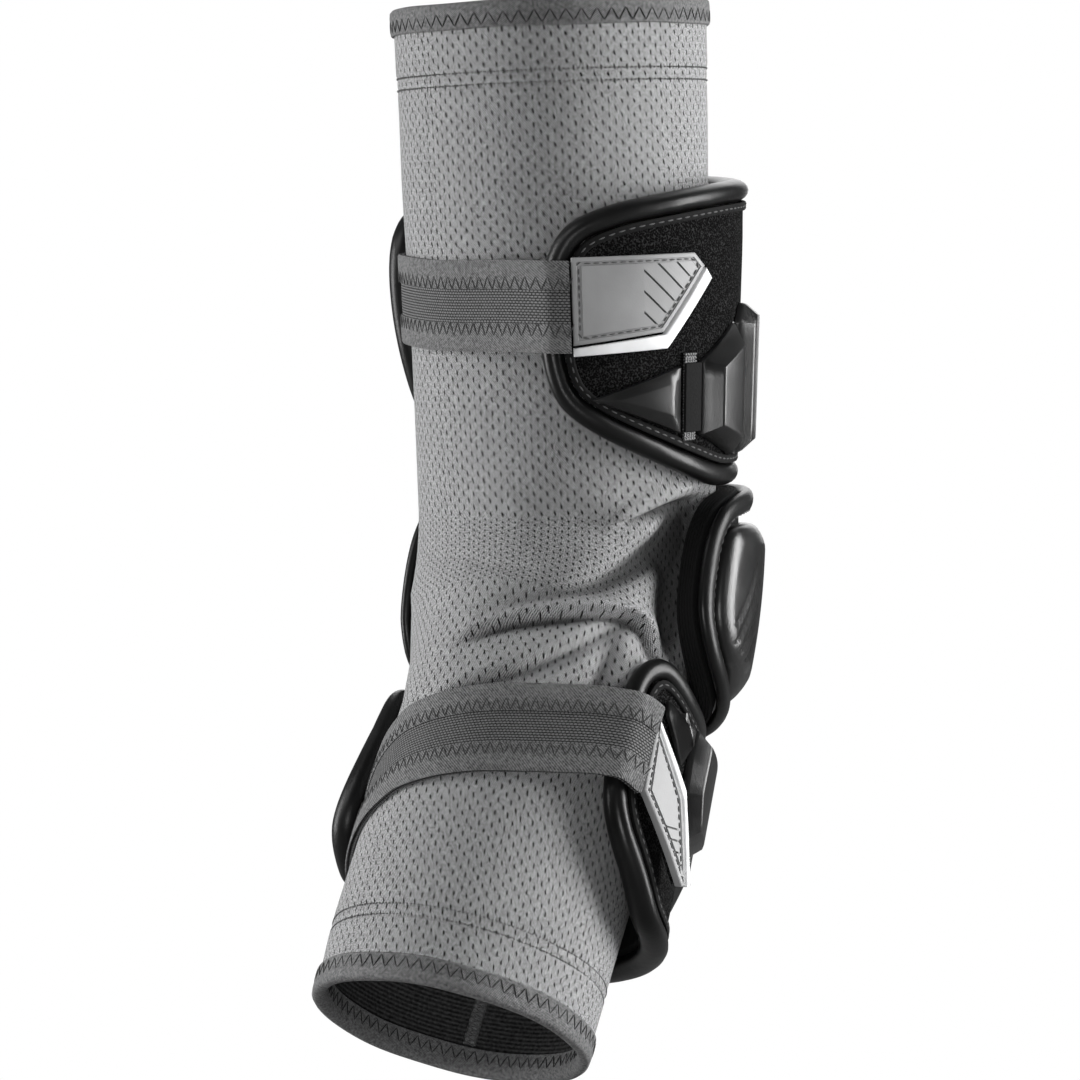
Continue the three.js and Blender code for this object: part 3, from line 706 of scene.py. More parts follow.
# Sleeve
# Creases beside the crook of the elbow. Each point is degrees round, millimetres along, the crease's
# half width, its depth, and the height of the soft cloth that puffs up on its left.
CREASES = {
    "main crease": [
        (-8, -42.6, 0.9, 0, 0), (-2, -40.2, 1.0, 2.6, 1.4), (11, -35.7, 1.15, 4.2, 2.5),
        (31, -30.4, 1.25, 4.6, 2.7), (48, -25.6, 1.25, 4.6, 2.7), (58, -23.6, 1.35, 4.4, 2.5),
        (66, -25, 1.6, 4.0, 1.6), (72, -29, 2.2, 3.6, 0.6), (78, -32, 3.0, 2.8, 0),
    ],
    "broad valley": [
        (-3, -38, 2.6, 0, 0), (4, -33.2, 2.8, 1.5, 0.3), (15, -27.5, 3.2, 2.4, 0.6),
        (30, -22.5, 3.8, 2.8, 0.8), (41, -15, 4.4, 3.5, 1.2), (50, -6, 5.0, 4.4, 1.5),
        (62, 5, 5.6, 5.0, 1.5), (74, 12, 6.5, 5.4, 0.6), (84, 15, 7.5, 5.4, 0),
    ],
    "strap crease": [
        (-9, -58.5, 1.2, 0, 0), (-2, -56, 1.3, 1.6, 0.8), (10, -53, 1.4, 2.6, 1.3), (22, -49, 1.5, 2.9, 1.5),
        (38, -39.5, 1.5, 2.9, 1.5), (49, -31, 1.6, 2.4, 1.0), (57, -26, 2.0, 1.6, 0.3), (61, -24, 2.0, 0, 0),
    ],
    "tent crease": [
        (46, 17.2, 1.0, 0, 0), (51, 18.9, 1.15, 3.6, 2.6), (62, 21.8, 1.35, 5.0, 3.2),
        (71, 23.2, 1.5, 5.2, 3.0), (84, 24, 1.9, 3.8, 1.4), (100, 24, 2.5, 1.8, 0.4),
    ],
    "soft valley": [
        (8, 29, 5.0, 0, 0), (18, 25.5, 6.0, 0.9, 0), (33, 18.5, 7.0, 1.5, 0.3), (48, 11.7, 6.0, 1.4, 0.3),
        (56, 8.5, 5.0, 0, 0),
    ],
    "upright valley": [
        (57, -28, 2.2, 0, 0), (54.7, -33, 2.6, 2.2, 0.8), (53.3, -40, 3.0, 3.2, 1.2),
        (52, -48, 3.0, 3.4, 1.2), (51, -60, 3.0, 2.0, 0.4),
    ],
    "valley beside the elbow pad": [
        (86, 24, 5.0, 0, 0), (82, 14, 7.0, 5.0, 0), (78.5, 3, 8.6, 5.6, 0.4),
        (78, -9, 8.6, 5.6, 0.4), (80, -20, 7.5, 5.2, 0), (84, -31, 5.0, 0, 0),
    ],
    "drag line": [
        (-40, 4, 5.0, 0, 0), (-22, -2, 6.0, 0.5, 0.2), (0, -10, 6.0, 0.8, 0.4), (20, -15, 5.0, 0.5, 0.2),
        (30, -16, 5.0, 0, 0),
    ],
}
CREASE_REACH = 40
CREASE_DEEPEST = 5.6
PUFF_HIGHEST = 2.4
# How far down the knit lies where its painted crease shade is darkest
HOLLOW_DEPTH = 4.2
CROOK_LOW = -66
CROOK_HIGH = 36


def crease_height(points, x, y):
    """Height that one crease gives to the cloth at flat places (x, y)."""
    table = np.array(points, float)
    table[:, 0] = np.radians(table[:, 0]) * ELBOW_RADIUS
    steps = np.r_[0, np.cumsum(np.linalg.norm(np.diff(table[:, :2], axis=0), axis=1))]
    fine = np.linspace(0, steps[-1], 90)
    line = np.stack([np.interp(fine, steps, table[:, k]) for k in range(5)], -1)
    line = np.stack([blurred(line[:, k], 7) for k in range(5)], -1)
    ahead = np.gradient(line[:, :2], axis=0)
    ahead /= np.linalg.norm(ahead, axis=1, keepdims=True)
    left = np.stack([-ahead[:, 1], ahead[:, 0]], -1)
    height = np.zeros(len(x))
    near = (x > line[:, 0].min() - CREASE_REACH) & (x < line[:, 0].max() + CREASE_REACH)
    near &= (y > line[:, 1].min() - CREASE_REACH) & (y < line[:, 1].max() + CREASE_REACH)
    spots = np.stack([x[near], y[near]], -1)
    gaps = np.linalg.norm(spots[:, None, :] - line[None, :, :2], axis=2)
    closest = gaps.argmin(axis=1)
    reach = gaps[np.arange(len(spots)), closest]
    side = np.sum((spots - line[closest, :2]) * left[closest], axis=1)
    width, depth, puff = line[closest, 2], line[closest, 3], line[closest, 4]
    past_end = np.exp(-np.maximum(reach**2 - side**2, 0) / width**2)
    # A sharp crease falls steeply from its puffed side and slopes gently up on the other.
    gentle = np.where(side > 0, 1.0, np.interp(width, [2, 3], [2.3, 1.0]))
    sunk = np.exp(-np.abs(side / (width * gentle)) ** np.interp(width, [2, 3.5], [1.3, 2.0]))
    ridge = np.exp(-(((side - 2.6 * width) / (1.9 * width)) ** 2))
    height[near] = past_end * (puff * ridge - depth * sunk)
    return height


def sleeve_height(along, around):
    """Height of the knit's face over the plain sleeve."""
    around = (around + 120) % 360 - 120
    x = np.radians(around).ravel() * ELBOW_RADIUS
    y = along.ravel()
    height = np.zeros(len(x))
    for points in CREASES.values():
        height += crease_height(points, x, y)
    height = np.clip(height, -CREASE_DEEPEST, PUFF_HIGHEST).reshape(along.shape)
    drift = np.sin(np.radians(around * 3 + along * 1.9)) + np.sin(np.radians(around * 5 - along * 2.7 + 50))
    slack = 1 - ramp(along, 110, 140)
    height = height + 0.2 * drift * slack
    # Beyond the hem's rows the knit is doubled, and each row draws it in.
    hem = ramp(along, 149.4, 151.0) + ramp(-along, 124.4, 126.0)
    height = height + 0.25 * hem
    for row in TOP_HEM_ROWS + WRIST_HEM_ROWS:
        height = height - 0.3 * np.exp(-(((along - row) / 0.7) ** 2))
    return height


def make_sleeve():
    outer = np.unique(np.r_[
        np.linspace(-FOREARM, CROOK_LOW, 42),
        np.linspace(CROOK_LOW, CROOK_HIGH, 150),
        np.linspace(CROOK_HIGH, 144, 44),
        np.linspace(144, UPPER_ARM, 30),
        np.linspace(-128, -119, 14),
    ])
    # The inside has fewer rows, each at one of the outside's, so that it never pokes through.
    crook = (outer > CROOK_LOW) & (outer < CROOK_HIGH)
    inner = np.r_[outer[~crook][::3], outer[crook][::2], UPPER_ARM, -FOREARM]
    inner = np.unique(inner)[::-1]
    rows = np.r_[outer, inner]
    around = np.r_[np.arange(-24, 112, 1.0), np.arange(112, 336, 2.8)]
    along, degrees = np.meshgrid(rows, around, indexing="ij")
    out = sleeve_height(along, degrees)
    out[len(outer):] -= SLEEVE_WALL
    total, count = along.shape
    faces = tube_faces(total, count)
    inside = np.repeat(np.arange(total) >= len(outer) - 1, count).astype(np.int32)
    places = on_arm(along, degrees, out).reshape(-1, 3)
    cloth = np.stack([np.radians(degrees) * ELBOW_RADIUS, along], -1).reshape(-1, 2) * MM
    # The last column meets the first, so the far corners of its faces carry on past a full turn.
    corners = cloth[faces.ravel()].reshape(-1, 4, 2)
    full = 2 * math.pi * ELBOW_RADIUS * MM
    crossing = np.ptp(corners[..., 0], axis=1) > full / 2
    low = corners[..., 0] < corners[..., 0].max(axis=1, keepdims=True) - full / 2
    corners[..., 0] += (crossing[:, None] & low) * full
    mesh = bpy.data.meshes.new("knit_sleeve")
    mesh.from_pydata(places.tolist(), [], faces.tolist())
    layer = mesh.uv_layers.new(name="cloth")
    layer.data.foreach_set("uv", corners.astype(np.float32).ravel())
    for material in (KNIT, LINING):
        mesh.materials.append(material)
    mesh.polygons.foreach_set("material_index", inside)
    mesh.shade_smooth()
    # Painted shade for the knit: how far down each point lies in a crease.
    crease_shade = mesh.attributes.new("hollow", "FLOAT", "POINT")
    crease_shade.data.foreach_set("value", np.clip(-out.ravel() / HOLLOW_DEPTH, 0, 1).astype(np.float32))
    made = add_object("knit_sleeve", mesh)
    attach(made, "root")
    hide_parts("sleeve")
    return made


def folded_tape(name, profile):
    """A tape that closes round the arm, a little uneven. profile is a loop of (along, out)."""
    columns = 240
    wave = 0.12
    profile = np.array(profile, float)
    degrees = np.linspace(0, 360, columns, endpoint=False)
    along = profile[:, 0][:, None] + wave * np.sin(np.radians(degrees * 7))[None, :]
    out = profile[:, 1][:, None] + 0.5 * wave * np.sin(np.radians(degrees * 11))[None, :]
    faces = tube_faces(len(profile), columns)
    run = np.r_[0, np.cumsum(np.linalg.norm(np.diff(profile, axis=0), axis=1))]
    around = np.broadcast_to(degrees, along.shape)
    cloth = np.stack([np.radians(around) * ELBOW_RADIUS, np.broadcast_to(run[:, None], along.shape)], -1)
    places = on_arm(along, around, out).reshape(-1, 3)
    piece = finish_piece(name, places, faces.tolist(), BINDING, cloth.reshape(-1, 2) * MM)
    mesh = piece.data
    bm = bmesh.new()
    bm.from_mesh(mesh)
    bmesh.ops.recalc_face_normals(bm, faces=bm.faces)
    bm.to_mesh(mesh)
    bm.free()
    return piece


def make_bindings():
    """The tapes folded over the two rims, and the zigzag that holds each."""
    made = []
    for name, rim, side, node in (
        ("top_tape", UPPER_ARM, 1, "top_binding"),
        ("wrist_tape", -FOREARM, -1, "wrist_binding"),
    ):
        leg = rim - side * 6.6
        inside = -SLEEVE_WALL - SEAT
        profile = [(leg, 0.35), (leg, 0.8), (leg + side * 0.35, 1.15), (rim - side * 1.2, 1.3)]
        profile += [(rim + side * 0.3, 1.15), (rim + side * 1.0, 0.5), (rim + side * 1.2, -0.5)]
        profile += [(rim + side * 1.0, -1.6), (rim + side * 0.2, -2.4), (rim - side * 1.0, inside - 0.9)]
        profile += [(leg, inside - 0.8), (leg, inside), (rim + side * 0.3, inside), (rim + side * 0.3, 0.35)]
        tape = folded_tape(name, profile)
        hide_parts(node)
        rows = [ring_line(rim - side * 3.9)]
        for label, base in (("_zigzag", 1.28), ("_inside_zigzag", inside - 1.05)):
            sew(name + label, rows, BLACK_THREAD, 2.4, 4.5, 0.42, 0.6, 57.0, base)
        made.append(tape)
    return made


def make_hem_stitches():
    """Two rows of short stitches beside each tape."""
    for name, hem in (("top_hem_stitches", TOP_HEM_ROWS), ("wrist_hem_stitches", WRIST_HEM_ROWS)):
        rows = [ring_line(along) for along in hem]
        sew(name, rows, HEM_THREAD, 1.5, 1.1, 0.55, 0.7, 14.0, 0.05)


SEAM_AROUND = 201.0
SEAM_HALF = 2.6


def seam_wobble(along):
    return 0.35 * np.sin(along * 0.13)


def make_inner_seam():
    """The overlocked ridge down the inside, and the threads that cross it."""
    middle = to_distance(SEAM_AROUND)
    low, high = -FOREARM + 7.5, UPPER_ARM - 7.5
    left, right = middle - SEAM_HALF, middle + SEAM_HALF
    outline = np.array([(left, low), (right, low), (right, high), (left, high)])
    places, faces = slab(outline, [(0, 0), (0.3, -0.8), (1.2, -1.3)], 1.5, 2.5)
    faces = [f[::-1] for f in faces]
    places[:, 0] += seam_wobble(places[:, 1])
    seam = wrap("overlock_ridge", (places, faces), BINDING, -SLEEVE_WALL - GAP)
    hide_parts("inner_seam")
    down = np.arange(low, high, 2.0)
    line = np.stack([middle + seam_wobble(down), down], -1)
    sew("overlock_threads", [(line, False)], HEM_THREAD, 0.75, 4.8, 0.5, 0.8, 74.0, -3.3)


# Shields
UPPER_CORNERS = [
    (22, 0.6), (22, 0.45), (26, 0.31), (35, 0.225), (56, 0.12), (76, 0.045), (92, 0.005), (120, 0),
    (150, 0), (180, 0), (210, 0), (238, 0.02), (259, 0.15), (271, 0.38), (275, 0.62), (271, 0.82),
    (258, 0.94), (236, 0.98), (208, 1), (180, 1), (150, 0.99), (120, 0.975), (90, 0.965),
    (60, 0.935), (42, 0.9), (30, 0.84), (24, 0.73),
]
FOREARM_CORNERS = [
    (59.5, 0.34), (60, 0.15), (64, 0.013), (72, -0.056), (82, -0.05), (94, -0.012), (112, 0),
    (150, 0), (180, 0), (210, 0), (238, 0), (256, 0), (265, 0.005), (272, 0.05), (277, 0.19),
    (281, 0.4), (282.5, 0.58), (280, 0.7), (272, 0.79), (262, 0.865), (250, 0.95), (236, 0.99),
    (210, 1), (180, 1), (150, 1), (120, 1), (104, 0.997), (93, 0.975), (85.5, 0.92), (79, 0.85),
    (72, 0.775), (66, 0.69), (62, 0.59), (60, 0.47),
]
FOREARM_LENGTH = 73.0
UPPER_LENGTH = 92.0
ROLL_WIDTH = 6.6
LOOP_THICKNESS = 3.0
FOAM_HEIGHTS = (2.0, 4.4)
ROLL_HEIGHTS = (6.2, 9.0)
# The shields' far edges stand clear of the strap ends that are tucked under them.
TUCK = STRAP_THICKNESS + TAPE_THICKNESS + GAP * 2
TUCK_FROM = 254
TUCK_TO = 262


class Shield:
    """A shield's outline and the heights of its layers."""

    def __init__(self, name, corners, start, length, flare):
        self.name = name
        self.start = start
        self.length = length
        self.flare = flare
        self.outline = smooth_outline([self.flat(a, s) for a, s in corners])

    def along(self, share):
        return self.start + share * self.length

    def share(self, along):
        return (along - self.start) / self.length

    def flat(self, around, share):
        return to_distance(around), self.along(share)

    def seat(self, around, along):
        return SEAT + self.flare * self.share(along) + TUCK * ramp(around, TUCK_FROM, TUCK_TO)

    def foam_top(self, around, along):
        return self.seat(around, along) + lerp(*FOAM_HEIGHTS, self.share(along))

    def roll_top(self, around, along):
        return self.seat(around, along) + lerp(*ROLL_HEIGHTS, self.share(along))

    def loop_seat(self, around, along):
        return self.foam_top(around, along) + GAP

    def loop_top(self, around, along):
        return self.loop_seat(around, along) + LOOP_THICKNESS

    def plate_seat(self, around, along):
        return self.loop_top(around, along) + GAP


UPPER = Shield("upper", UPPER_CORNERS, 27.5, UPPER_LENGTH, 2.6)
LOWER = Shield("forearm", FOREARM_CORNERS, -35.5, -FOREARM_LENGTH, 4.6)


def make_roll(name, outline, width, lower, upper, node):
    """The padded edge: an oval tube round the outline, with faint puckers where it is sewn."""
    sides = 18
    line = anticlockwise(even(inset(outline, width / 2), 300))
    around = to_degrees(line[:, 0])
    bottom = lower(around, line[:, 1])
    height = upper(around, line[:, 1]) - bottom
    turn = np.linspace(0, 2 * math.pi, sides, endpoint=False)
    run = np.arange(len(line)) * 2 * math.pi / len(line)
    pucker = 0.012 * np.sin(run * 47) + 0.01 * np.sin(run * 31 + 1) + 0.008 * np.sin(run * 83 + 2)
    swell = 1 + pucker[:, None] * np.maximum(np.sin(turn), 0)[None, :] * 1.6 - 0.02
    side = np.sin(turn)[None, :] * swell * width / 2
    lift = -np.cos(turn)[None, :] * swell * height[:, None] / 2
    # The underside is a little flatter than the top.
    lift = np.where(lift < 0, lift * 0.96, lift)
    places = swept(line, side, (bottom + height / 2)[:, None] + lift)
    faces = tube_faces(len(line), sides)[:, TURNED].tolist()
    roll = wrap(name, (places, faces), ROLL_CLOTH, sharp=180)
    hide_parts(node)


def make_flange(name, line, base):
    """The narrow flat welt just inside a roll, which the stitches hold."""
    line = anticlockwise(even(line, 260))
    profile = [(-1.2, -0.5), (-1.2, 0.45), (-0.6, 0.75), (0, 0.55), (0.7, 0.7), (1.25, 0.35), (1.3, -0.5)]
    profile = np.array(profile)
    places = swept(line, np.tile(profile[:, 0], (len(line), 1)), profile[:, 1])
    faces = tube_faces(len(line), len(profile)).tolist()
    wrap(name, (places, faces), FOAM_CLOTH, base, sharp=60)


def make_loop_cloth(shield, outline):
    """The padded panel inside a roll: rounded edges, and a face that swells away from them."""
    crown = 0.3
    rounding = 0.8
    thickness = LOOP_THICKNESS - crown
    rings = [(0.25, 0), (0.0, 0.3), (0.0, thickness - rounding), (rounding * 0.3, thickness - rounding * 0.3)]
    rings.append((rounding, thickness))
    places, faces = slab(outline, rings, 2.5)
    depth = edge_distance(outline, places[:, :2])
    on_top = ramp(places[:, 2], thickness * 0.5, thickness)
    places[:, 2] += crown * on_top * ramp(depth, 0, 14)
    name = shield.name + "_loop_cloth"
    piece = wrap(name, (places, faces), LOOP_CLOTH, shield.loop_seat)
    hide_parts(shield.name + "_loop_panel")


def make_shield(shield):
    """The padded edge, the foam base, the loop cloth, and the welt and stitches inside the edge."""
    name = shield.name
    inner_edge = ROLL_WIDTH + GAP
    panel = even(inset(shield.outline, inner_edge), 140)
    make_roll(
        name + "_padded_edge", shield.outline, ROLL_WIDTH, shield.seat, shield.roll_top, name + "_edge_roll",
    )
    thin = shield.foam_top(0, shield.start) - shield.seat(0, shield.start)
    thick = shield.foam_top(0, shield.along(1)) - shield.seat(0, shield.along(1))
    # The foam is cut one unit thick and then given its thickness, which grows along the shield.
    rings = [(0, 0), (0, 1.0), (0.3, 1.0)]
    places, faces = slab(panel, rings, 3.0)
    places[:, 2] *= lerp(thin, thick, shield.share(places[:, 1]))
    foam = wrap(name + "_foam_base", (places, faces), FOAM_CLOTH, shield.seat)
    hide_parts(name + "_foam")
    make_loop_cloth(shield, panel)
    make_flange(name + "_flange", inset(shield.outline, inner_edge + 0.9), shield.loop_top)
    seam = even(inset(shield.outline, inner_edge + 1.0), 260)
    sew(
        name + "_edge_stitches", [(seam, True)], GREY_THREAD, 2.9, 2.0, 0.55, 0.8, 0.0,
        lambda a, s: shield.loop_top(a, s) + 0.5,
    )


# Hard plates: rise in millimetres over the panel and corners (degrees, share of the shield).
UPPER_PLATES = [
    (3.1, [(37, 0.31), (67.5, 0.4), (67.5, 0.19)]),
    (6.5, [(77, 0.41), (96, 0.52), (96.5, 0.1), (77, 0.18)]),
    (5.5, [(100, 0.1), (100, 0.52), (105, 0.58), (124, 0.57), (131, 0.47), (131, 0.1)]),
    (6.0, [(135, 0.1), (135, 0.5), (143, 0.66), (158, 0.78), (158, 0.1)]),
    (6.8, [(162, 0.1), (162, 0.8), (180, 0.87), (198, 0.8), (198, 0.1)]),
    (6.0, [(202, 0.1), (202, 0.78), (217, 0.66), (225, 0.5), (225, 0.1)]),
    (5.2, [(229, 0.12), (229, 0.47), (236, 0.57), (248, 0.56), (252, 0.45), (250, 0.2)]),
]
LOWER_PLATES = [
    (4.7, [(76, 0.113), (77, 0.164), (89, 0.315), (92, 0.252), (92, 0.126)]),
    (5.7, [(96, 0.12), (95, 0.391), (102, 0.555), (127, 0.53), (127, 0.12)]),
    (6.0, [(131, 0.126), (131, 0.55), (141, 0.71), (157, 0.82), (157, 0.126)]),
    (6.8, [(161, 0.126), (161, 0.82), (180, 0.87), (199, 0.82), (199, 0.126)]),
    (6.0, [(203, 0.126), (203, 0.82), (219, 0.71), (229, 0.55), (229, 0.126)]),
    (5.2, [(233, 0.15), (233, 0.5), (243, 0.7), (252, 0.72), (252, 0.34), (247, 0.22)]),
]
PLATE_EDGE = 1.4
PLATE_BEVEL = 3.7


def make_plates(shield, plates):
    """Hard plates with a short steep side, a broad bevel and a flat face."""
    for number, (rise, corners) in enumerate(plates, 1):
        outline = np.array([shield.flat(a, s) for a, s in corners])
        slope = (rise - PLATE_EDGE) / PLATE_BEVEL
        rings = [(0, 0), (0, PLATE_EDGE - 0.35), (0.12, PLATE_EDGE - 0.1), (0.4, PLATE_EDGE + 0.4 * slope)]
        rings.append((PLATE_BEVEL - 0.4, rise - 0.4 * slope))
        rings += [(PLATE_BEVEL - 0.1, rise - 0.06), (PLATE_BEVEL + 0.3, rise)]
        name = f"{shield.name}_armour_{number}"
        plate = wrap(name, slab(outline, rings, 2.5), PLASTIC, shield.plate_seat, sharp=50)
        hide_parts(f"{shield.name}_plate_{number}")


def make_hinge():
    """The pale ribbed mesh and the black web between the first two upper plates, and the next hinge."""
    def patch(left, right, low, high):
        corners = [(left, low), (right, low), (right, high), (left, high)]
        return np.array([UPPER.flat(a, s) for a, s in corners])

    rings = [(0, 0), (0, 0.6), (0.15, 0.8)]
    flat = slab(patch(69.6, 74.2, 0.165, 0.44), rings, 2.0)
    pale = wrap("hinge_mesh", flat, ELASTIC, UPPER.plate_seat)
    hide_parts("upper_hinge_mesh")
    flat = slab(patch(68.9, 75.9, 0.192, 0.408), rings, 2.0)
    web = wrap("hinge_web", flat, FOAM_CLOTH, lambda a, s: UPPER.plate_seat(a, s) + 1.1)
    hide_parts("upper_hinge_web")
    lines = []
    for low, high in ((0.17, 0.188), (0.412, 0.435)):
        for share in np.linspace(low, high, 3):
            lines.append((np.array([UPPER.flat(a, share) for a in (69.8, 71.9, 74.0)]), False))
    sew(
        "hinge_ribs", lines, PALE_THREAD, 0.8, 0.75, 0.5, 0.9, 40.0,
        lambda a, s: UPPER.plate_seat(a, s) + 0.85,
    )
    line = np.array([UPPER.flat(98.2, s) for s in np.linspace(0.11, 0.52, 20)])
    sew(
        "side_hinge_ribs", [(line, False)], PALE_THREAD, 0.75, 1.9, 0.55, 0.9, 78.0,
        lambda a, s: UPPER.plate_seat(a, s) + 0.1,
    )


# Elbow
ELBOW_CORNERS = [
    (76, -0.2), (78, 0.5), (86, 0.88), (100, 1), (140, 1), (172, 1), (204, 1), (246, 1), (260, 0.86),
    (269.5, 0.45), (272.5, -0.12), (268.5, -0.55), (257, -0.84), (238, -0.93), (204, -0.93),
    (172, -0.93), (140, -0.93), (110, -0.92), (95, -0.84), (86, -0.72), (79, -0.5),
]
ELBOW_TOP = SEAT + ELBOW_FOAM + GAP
ELBOW_ROLL = 6.0
ELBOW_ROLL_HEIGHT = 4.3
ELBOW_UP = 25.0
ELBOW_DOWN = 33.0
CAP_UP = 16.5
CAP_DOWN = 21.5
CAP_SIDE = 3.2
CAP_RISE = 3.0
CAP_CROWN = 2.8
CAP_BEVEL = 5.0
CAP_MIDDLE = 172
CAP_HALF = 92


def cap_height(outline, points):
    """The cap's face over its own rim: a steep side, a rounded bevel and a crown."""
    edge = np.clip(edge_distance(outline, points) / CAP_BEVEL, 0, 1)
    rounding = np.sqrt(1 - (1 - edge) ** 2)
    away = np.abs(to_degrees(points[:, 0]) - CAP_MIDDLE) / CAP_HALF
    crown = np.cos(np.clip(away, 0, 1) * math.pi / 2)
    return CAP_SIDE + CAP_RISE * rounding + CAP_CROWN * crown * edge


def groove_depth(points):
    """Slanted grooves in fans on both flanks of the cap."""
    sunk = np.zeros(len(points))
    for middle, side in ((96, 1), (248, -1)):
        for k, (low, high) in enumerate(((-12, 6), (-17, 2), (-22, -4), (-27, -11))):
            a = np.array([to_distance(middle + side * (k * 2.2 - 4)), low])
            b = np.array([to_distance(middle + side * (k * 2.2 + 7)), high])
            away = stretch_distance(points, a, b)
            sunk = np.maximum(sunk, 0.8 * (1 - ramp(away, 0.25, 0.95)))
    return sunk


def level_at(height):
    """A face at one height all over."""
    return lambda around, along: np.full(len(around), height)


def make_elbow():
    """The foam pad over the point of the elbow, its padded edge and the hard cap."""
    corners = [(to_distance(a), s * (ELBOW_UP if s > 0 else ELBOW_DOWN)) for a, s in ELBOW_CORNERS]
    outline = smooth_outline(corners, 200)
    rings = [(0.35, 0)]
    for height in np.arange(0.3, ELBOW_FOAM - 0.6, 0.5):
        rings.append((0.0 if len(rings) % 2 else 0.3, float(height)))
    rings += [(0.25, ELBOW_FOAM - 0.3), (0.9, ELBOW_FOAM)]
    pad = wrap("elbow_foam", slab(outline, rings, 2.5, 2.5), FOAM_CLOTH, SEAT)
    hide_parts("elbow_pad")
    upper = level_at(ELBOW_TOP + ELBOW_ROLL_HEIGHT)
    make_roll("elbow_padded_edge", outline, ELBOW_ROLL, level_at(ELBOW_TOP), upper, "elbow_edge_roll")
    rim = inset(outline, ELBOW_ROLL + GAP)
    rim[:, 1] = np.clip(rim[:, 1], -CAP_DOWN, CAP_UP)
    rim = soften(even(rim, 200), 4)
    rings = [(0, 0), (0, 2.0), (0.02, CAP_SIDE), (0.4, 4.6), (1.0, 5.2), (2.0, 6.0), (3.2, 6.6), (4.6, 7.0)]
    places, faces = slab(rim, rings, 1.2, 1.2)
    top = places[:, 2] > CAP_SIDE - 0.1
    clear = ramp(edge_distance(rim, places[top, :2]), 2.5, 5.0)
    places[top, 2] = cap_height(rim, places[top, :2]) - groove_depth(places[top, :2]) * clear
    cap = wrap("elbow_dome", (places, faces), PLASTIC, ELBOW_TOP, sharp=60)
    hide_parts("elbow_cap")
    seam = even(inset(outline, ELBOW_ROLL - 0.4), 220)
    sew(
        "elbow_edge_stitches", [(seam, True)], GREY_THREAD, 3.0, 2.2, 0.6, 0.8, 0.0,
        ELBOW_TOP + 3.1,
    )


# Straps and tabs
HOOK_THICKNESS = 1.0
# Distances from the strap's middle
TAPE_EDGES = (4.8, 13.1)
ZIGZAG_OFFSET = 6.6
# Each strap's route in (degrees, share of the shield), the degrees where its tab begins, and those where
# it has risen onto the shield's padded edge.
STRAP_START = -94
STRAP_ROUTES = {
    "upper": {"end": 32, "crest": 25, "route": [(STRAP_START, 0.64), (-48, 0.625), (32, 0.6)]},
    "forearm": {
        "end": 70.5,
        "crest": 61,
        "route": [
            (STRAP_START, 0.8), (-75, 0.76), (-55, 0.68), (-40, 0.615), (-21, 0.535), (0, 0.485), (24, 0.43),
            (52, 0.359), (63, 0.347), (70.5, 0.372),
        ],
    },
}


def strap_line(shield, degrees):
    """Middle of the strap along the arm, height of its underside, and how far its slope widens it."""
    strap = STRAP_ROUTES[shield.name]
    knots = np.array(strap["route"], float)
    fine = np.linspace(knots[0, 0], knots[-1, 0], 400)
    share = np.interp(fine, knots[:, 0], knots[:, 1])
    share = blurred(share, 20)
    middle = shield.along(np.interp(degrees, fine, share))
    crest_along = shield.along(np.interp(strap["crest"], fine, share))
    edges = (crest_along - STRAP_HALF, crest_along + STRAP_HALF)
    tops = [float(shield.roll_top(strap["crest"], edge)) for edge in edges]
    tops += [float(shield.plate_seat(strap["crest"], edge)) + (HOOK_THICKNESS + GAP) for edge in edges]
    crest = GAP + max(tops)
    radius = float(sleeve_radius(crest_along))
    leaving = strap["crest"] - math.degrees(math.acos((radius + SEAT) / (radius + crest)))
    rising = (radius + SEAT) / np.cos(np.radians(np.clip(degrees - leaving, 0, 80))) - radius
    height = np.where(degrees <= leaving, SEAT, np.where(degrees >= strap["crest"], crest, rising))
    height = blurred(height, 4)
    slope = np.gradient(middle, np.radians(degrees) * (ELBOW_RADIUS + 2))
    return middle, height, np.sqrt(1 + slope**2)


def ribbon(name, degrees, edges, lift, thickness, line, material, node, crown=0.15):
    """A band along the strap between two distances from its middle."""
    middle, height, widened = line
    low, high = edges
    count = 13
    across = np.linspace(0, 1, count)
    top = lift + thickness + crown * np.sin(across * math.pi)
    top[[0, -1]] -= thickness * 0.45
    offsets = np.r_[lerp(low, high, across), lerp(high, low, across)]
    heights = np.r_[top, np.full(count, lift)]
    heights[count] += 0.15
    heights[-1] += 0.15
    along = middle[:, None] + offsets[None, :] * widened[:, None]
    out = height[:, None] + heights[None, :]
    around = np.broadcast_to(degrees[:, None], along.shape)
    places = on_arm(along, around, out)
    rows, loop = along.shape
    # The faces that would join its two ends are left out, and each end is closed rung by rung.
    faces = tube_faces(rows, loop)[:-loop, TURNED].tolist()
    for j in range(loop // 2 - 1):
        rung = [j, j + 1, loop - 2 - j, loop - 1 - j]
        faces.append(rung)
        faces.append([(rows - 1) * loop + k for k in rung[::-1]])
    cloth = np.stack([np.radians(around) * (ELBOW_RADIUS + 3), np.broadcast_to(offsets, along.shape)], -1)
    piece = finish_piece(name, places.reshape(-1, 3), faces, material, cloth.reshape(-1, 2) * MM)
    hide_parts(node)
    return piece


